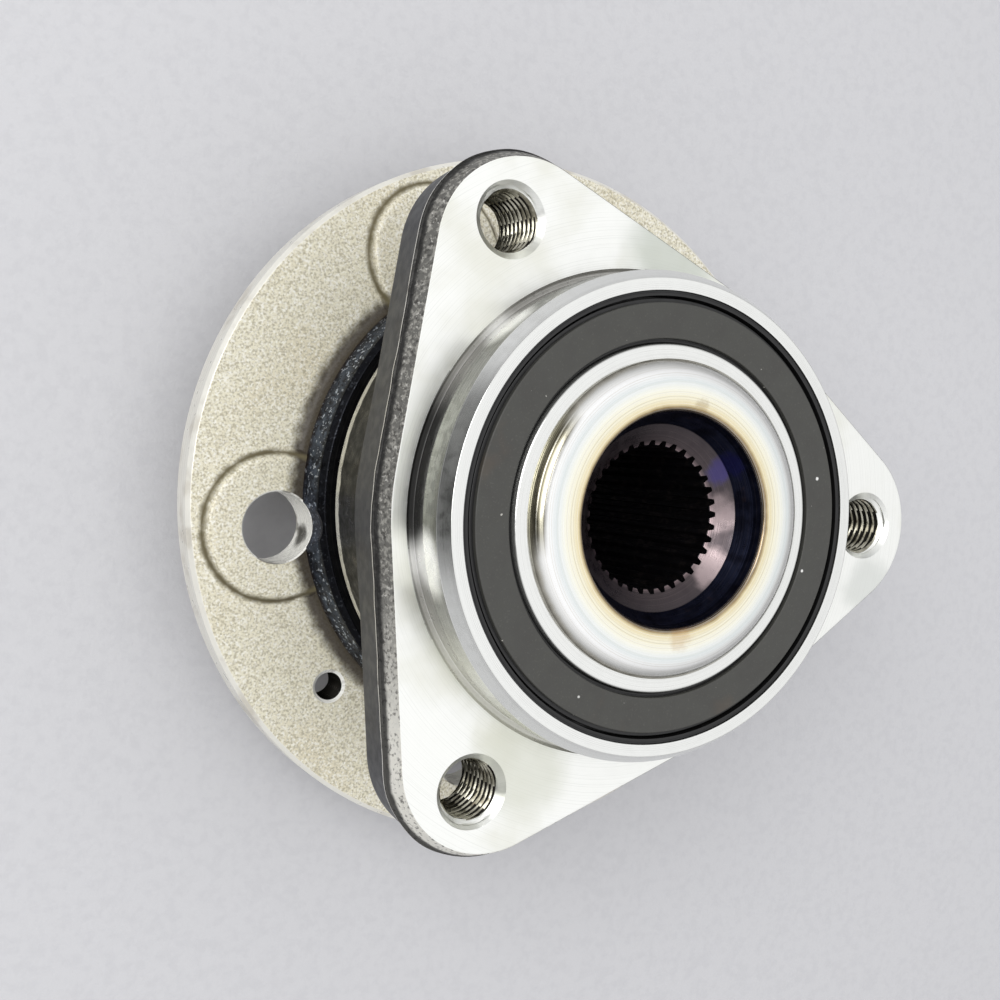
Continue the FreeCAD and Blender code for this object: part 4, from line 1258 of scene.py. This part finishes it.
    def dress(self, piece: bpy.types.Object) -> None:
        """Give each surface of the ring the finish of the step that made it, with painted shade in the
        thread roots and painted highlights and reflections on the spigot.
        """
        faces = Faces.of(piece)
        radius, height, up = faces.radius, faces.height, faces.up
        holes = faces.near(self.hole_circle, self.lobe_turns)
        mouth = self.hole_mouth + 0.1
        groove = (holes > self.hole_wall + 0.34) & (holes < self.hole_wall + 1.2)
        spigot = (radius < self.face_start + 0.1) & (height > self.face - 1)
        chamfer = (radius > self.chamfer[0] - 0.1) & (radius < self.spigot + 0.1)
        ridge_top = self.parting + 0.15
        paint(piece, FORGED_SCALE, (
            # Painted shade in the thread roots.
            (groove & (height < self.face - 1.7), SHADED_THREAD_GROOVE),
            ((holes > self.hole_wall + 0.1) & (holes < mouth) & (height > self.face - 1.5),
             MOUNT_FACE_STEEL),
            ((holes < mouth) & (np.abs(up) < 0.95) & (radius > self.ring_radius + 1), TAPPED_STEEL),
            (spigot & (height < self.undercut_end + 0.4), RELIEF_STEEL),
            ((radius < self.spigot + 0.1) & (height > self.ring_end - 0.1), GROUND_STEEL),
            (chamfer & (up > 0.3) & (height > self.chamfer[1] - 0.1), CHAMFER_STEEL),
            ((up > 0.9) & (np.abs(height - self.face) < 0.1) & (radius > 43), MOUNT_FACE_STEEL),
            (spigot, SPIGOT_STEEL),
            (radius < self.seal_seat + 0.1, GROUND_STEEL),
            ((height < self.ring_start + 1.3) & (radius < self.ring_radius + 0.1), SPIGOT_STEEL),
            ((height > ridge_top) & (height < self.face + 0.1), TRIMMED_STEEL),
            ((height > self.parting - 0.22) & (height <= ridge_top), FLASH_RIDGE),
            ((radius > self.ring_radius + 0.8) & (height > self.flange_far - 0.2), DRAFTED_SCALE)))

    def build(self) -> None:
        """Shape the ring, tap its holes and dress it."""
        ring = self.forging()
        taps = [thread_tool("knuckle_tap", wall=self.hole_wall, depth=self.thread_depth,
                            pitch=self.thread_pitch, mouth=self.hole_mouth, bottom=self.flange_far - 3,
                            face=self.face, reach=self.hole_circle, turn=turn, segments=72)
                for turn in self.lobe_turns]
        work(ring, fused("knuckle_taps", taps), Operation.CUT)
        self.dress(ring)
        install(ring, "outer_ring", Body.HOUSING)


@dataclass
class InnerRing:
    """Ground ring on the spindle's stub, held by the rolled collar."""

    start: float = 39.4
    end: float = 60.0
    bore: float = 21.5
    land: float = 29.85
    low_shoulder: float = 27.6
    pitch_radius: float = 32.8
    race_radius: float = 5.9
    row: float = 46.9

    def build(self) -> None:
        """Turn the ring with rounded edges and dress it."""
        corners: list[Corner] = [(self.bore, self.start, 0.3), (self.low_shoulder, self.start, 0.2)]
        corners += arc((self.pitch_radius, self.row), self.race_radius, 208, 120, 10)
        corners += [(self.land, self.end, 0.5), (self.bore + 2, self.end, 0.1),
                    (self.bore, self.end - 2, 0.2)]
        ring = skin("inner_ring_ground", lathe(rounded(corners), 240))
        paint(ring, GROUND_STEEL)
        install(ring, "inner_ring", Body.SPINDLE)


@dataclass
class InboardSeal:
    """Seal of the knuckle side: rubber with its lips, slinger and magnetic speed ring."""

    seat: float = 38.8
    end: float = 59.4
    floor: float = 54.8
    face: float = 59.8
    land: float = 29.85

    def ring(self, name: str, node: str, corners: list[Corner], finish: Finish, slot: Slot,
             body: Body) -> None:
        """Turn one ring of the seal, dress it and let it stand for its solid.

        Args:
            name: Name of the piece.
            node: Solid that it stands for.
            corners: Its section.
            finish: Its finish.
            slot: Material slot; not used.
            body: Body that carries it.
        """
        piece = skin(name, lathe(rounded(corners, 0.08, 0.06), 200))
        paint(piece, finish)
        install(piece, node, body)

    def build(self) -> None:
        """Make the rubber, the slinger and the speed ring."""
        floor, end, face = self.floor, self.end, self.face
        self.ring("inboard_seal_rubber", "inboard_seal_lip", [
            (30.55, floor, 0.05), (self.seat, floor, 0.1), (self.seat, end, 0.12), (38.4, end, 0.08),
            (38.4, floor + 0.4, 0), (32.6, floor + 0.4, 0), (32.6, floor + 0.9, 0), (34.9, floor + 0.9, 0),
            (33.9, floor + 1.3, 0.1), (34.9, 57.7, 0.08), (34.4, 57.7, 0.08), (31.6, floor + 1.3, 0.1),
            (30.55, floor + 0.5, 0.05)], SEAL_RUBBER, Slot.SEAL_RUBBER, Body.HOUSING)
        self.ring("slinger_pressed", "slinger", [
            (self.land, face - 4.4, 0.05), (30.35, face - 4.4, 0.05), (30.35, 58.4, 0.2),
            (37.5, 58.4, 0.15), (37.5, 58.9, 0.15), (self.land, 58.9, 0.5)],
            PRESSED_STEEL, Slot.SEAL_STEEL, Body.SPINDLE)
        self.ring("speed_ring", "encoder_ring", [
            (30.7, 58.9, 0), (36.8, 58.9, 0), (36.8, face, 0.25), (30.7, face, 0.2)],
            MAGNET_RUBBER, Slot.ENCODER_RUBBER, Body.SPINDLE)


@dataclass
class RollingSet:
    """Balls, cages and hidden seal parts, whose solids stay and only get their finishes."""

    ball_count: int = 15

    def finishes(self) -> dict[str, Finish]:
        """Finish of each solid that stays, by its name."""
        kept = {"outboard_cage": CAGE_POLYAMIDE, "inboard_cage": CAGE_POLYAMIDE,
                "inboard_seal_case": PRESSED_STEEL, "outboard_seal_case": PRESSED_STEEL,
                "outboard_seal_lip": SEAL_RUBBER}
        for side in ("outboard", "inboard"):
            for number in range(self.ball_count):
                kept["%s_ball_%02d" % (side, number + 1)] = LAPPED_STEEL
        return kept

    def build(self) -> None:
        """Put the finishes on the solids, one material shared by each kind."""
        materials: dict[str, bpy.types.Material] = {}
        for node, finish in self.finishes().items():
            if finish.name not in materials:
                materials[finish.name] = finish.material()
            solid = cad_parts[node]
            solid.data.materials.clear()
            solid.data.materials.append(materials[finish.name])
        LOG.info("rolling set: %d solids", len(self.finishes()))


@dataclass
class Studio:
    """Pale floor, soft dome and lamp, and the camera of the photograph."""

    floor_height: float = -15.0
    floor_reach: float = 2500.0
    lens: float = 46.8
    camera_place: Place = (-128.74, 19.17, 241.63)
    camera_right: Place = (0.88357, 0.0, 0.46831)
    camera_up: Place = (0.03349, 0.99744, -0.06319)
    camera_back: Place = (-0.46711, 0.07152, 0.88130)
    sensor: float = 36.0
    dome: tuple[tuple[float, float], ...] = (
        (0.0, 0.30), (0.25, 0.46), (0.55, 0.78), (0.8, 1.0), (1.0, 1.02))
    shade_towards: Place = (-0.94, 0.06, 0.33)
    shade: tuple[float, float, float, float] = (0.86, 0.95, 1.0, 0.18)
    lamp_place: Place = (-0.62, 0.30, 0.72)
    lamp_size: float = 0.7
    lamp_power: float = 4.6

    def lay_floor(self) -> None:
        """Flat pale floor that the bearing stands on."""
        reach = self.floor_reach
        corners = np.array([[-reach, -reach], [reach, -reach], [reach, reach], [-reach, reach]])
        points = np.column_stack([corners, np.full(4, self.floor_height)]) * MM
        floor = meshed("floor", points, [(0, 1, 2, 3)])
        floor.data.materials.append(PALE_FELT.material())

    def light_dome(self) -> None:
        """World that is brightest overhead, greyer at the horizon, and dark low down towards -X.

        The level follows the height of the direction through the stops of dome. Within the cone
        round shade_towards it falls smoothly: shade holds the two cosines and the two strengths.
        """
        world = bpy.data.worlds.new("studio_dome")
        bpy.context.scene.world = world
        world.use_nodes = True
        graph = Graph(world.node_tree)
        direction = graph.node("ShaderNodeTexCoord").outputs["Generated"]
        ramp = graph.node("ShaderNodeValToRGB")
        fill_ramp(ramp, [(place, (level, level, level * 1.02)) for place, level in self.dome])
        toward = graph.node("ShaderNodeVectorMath", operation="DOT_PRODUCT")
        graph.fed(toward, direction, tuple(Vector(self.shade_towards).normalized()))
        strength = graph.spread(toward.outputs["Value"], *self.shade)
        background = graph.node("ShaderNodeBackground")
        graph.fed(background, graph.fed(ramp, graph.upward(direction)), strength)
        output = graph.node("ShaderNodeOutputWorld")
        graph.plug(output.inputs["Surface"], background.outputs[0])

    def hang_lamp(self) -> None:
        """Large soft lamp above and towards -X, which lights the flange and the pads."""
        data = bpy.data.lights.new("soft_box", "AREA")
        data.shape = "DISK"
        data.size = self.lamp_size
        data.energy = self.lamp_power
        lamp = placed("soft_box", data)
        place = Vector(self.lamp_place)
        lamp.location = place
        lamp.rotation_euler = place.to_track_quat("Z", "Y").to_euler()

    def set_camera(self) -> None:
        """Camera at the photograph's place, from its position and its three axes."""
        data = bpy.data.cameras.new("camera")
        data.lens = self.lens
        data.sensor_width = self.sensor
        data.sensor_fit = "HORIZONTAL"
        data.clip_start = 0.01
        data.clip_end = 20.0
        camera = placed("camera", data)
        axes = Matrix((self.camera_right, self.camera_up, self.camera_back)).transposed()
        camera.matrix_world = Matrix.Translation(Vector(self.camera_place) * MM) @ axes.to_4x4()
        bpy.context.scene.camera = camera

    def build(self) -> None:
        """Set the stage."""
        self.lay_floor()
        self.light_dome()
        self.hang_lamp()
        self.set_camera()
        bpy.context.scene.view_settings.view_transform = "Standard"


def main() -> None:
    """Build the bearing's sub-assemblies in order, then the studio."""
    logging.basicConfig(level=logging.INFO, format="%(message)s")
    for assembly in (WheelHub(), OuterRing(), InnerRing(), InboardSeal(), RollingSet(), Studio()):
        assembly.build()
        LOG.info("built %s", type(assembly).__name__)


if __name__ == "__main__":
    main()
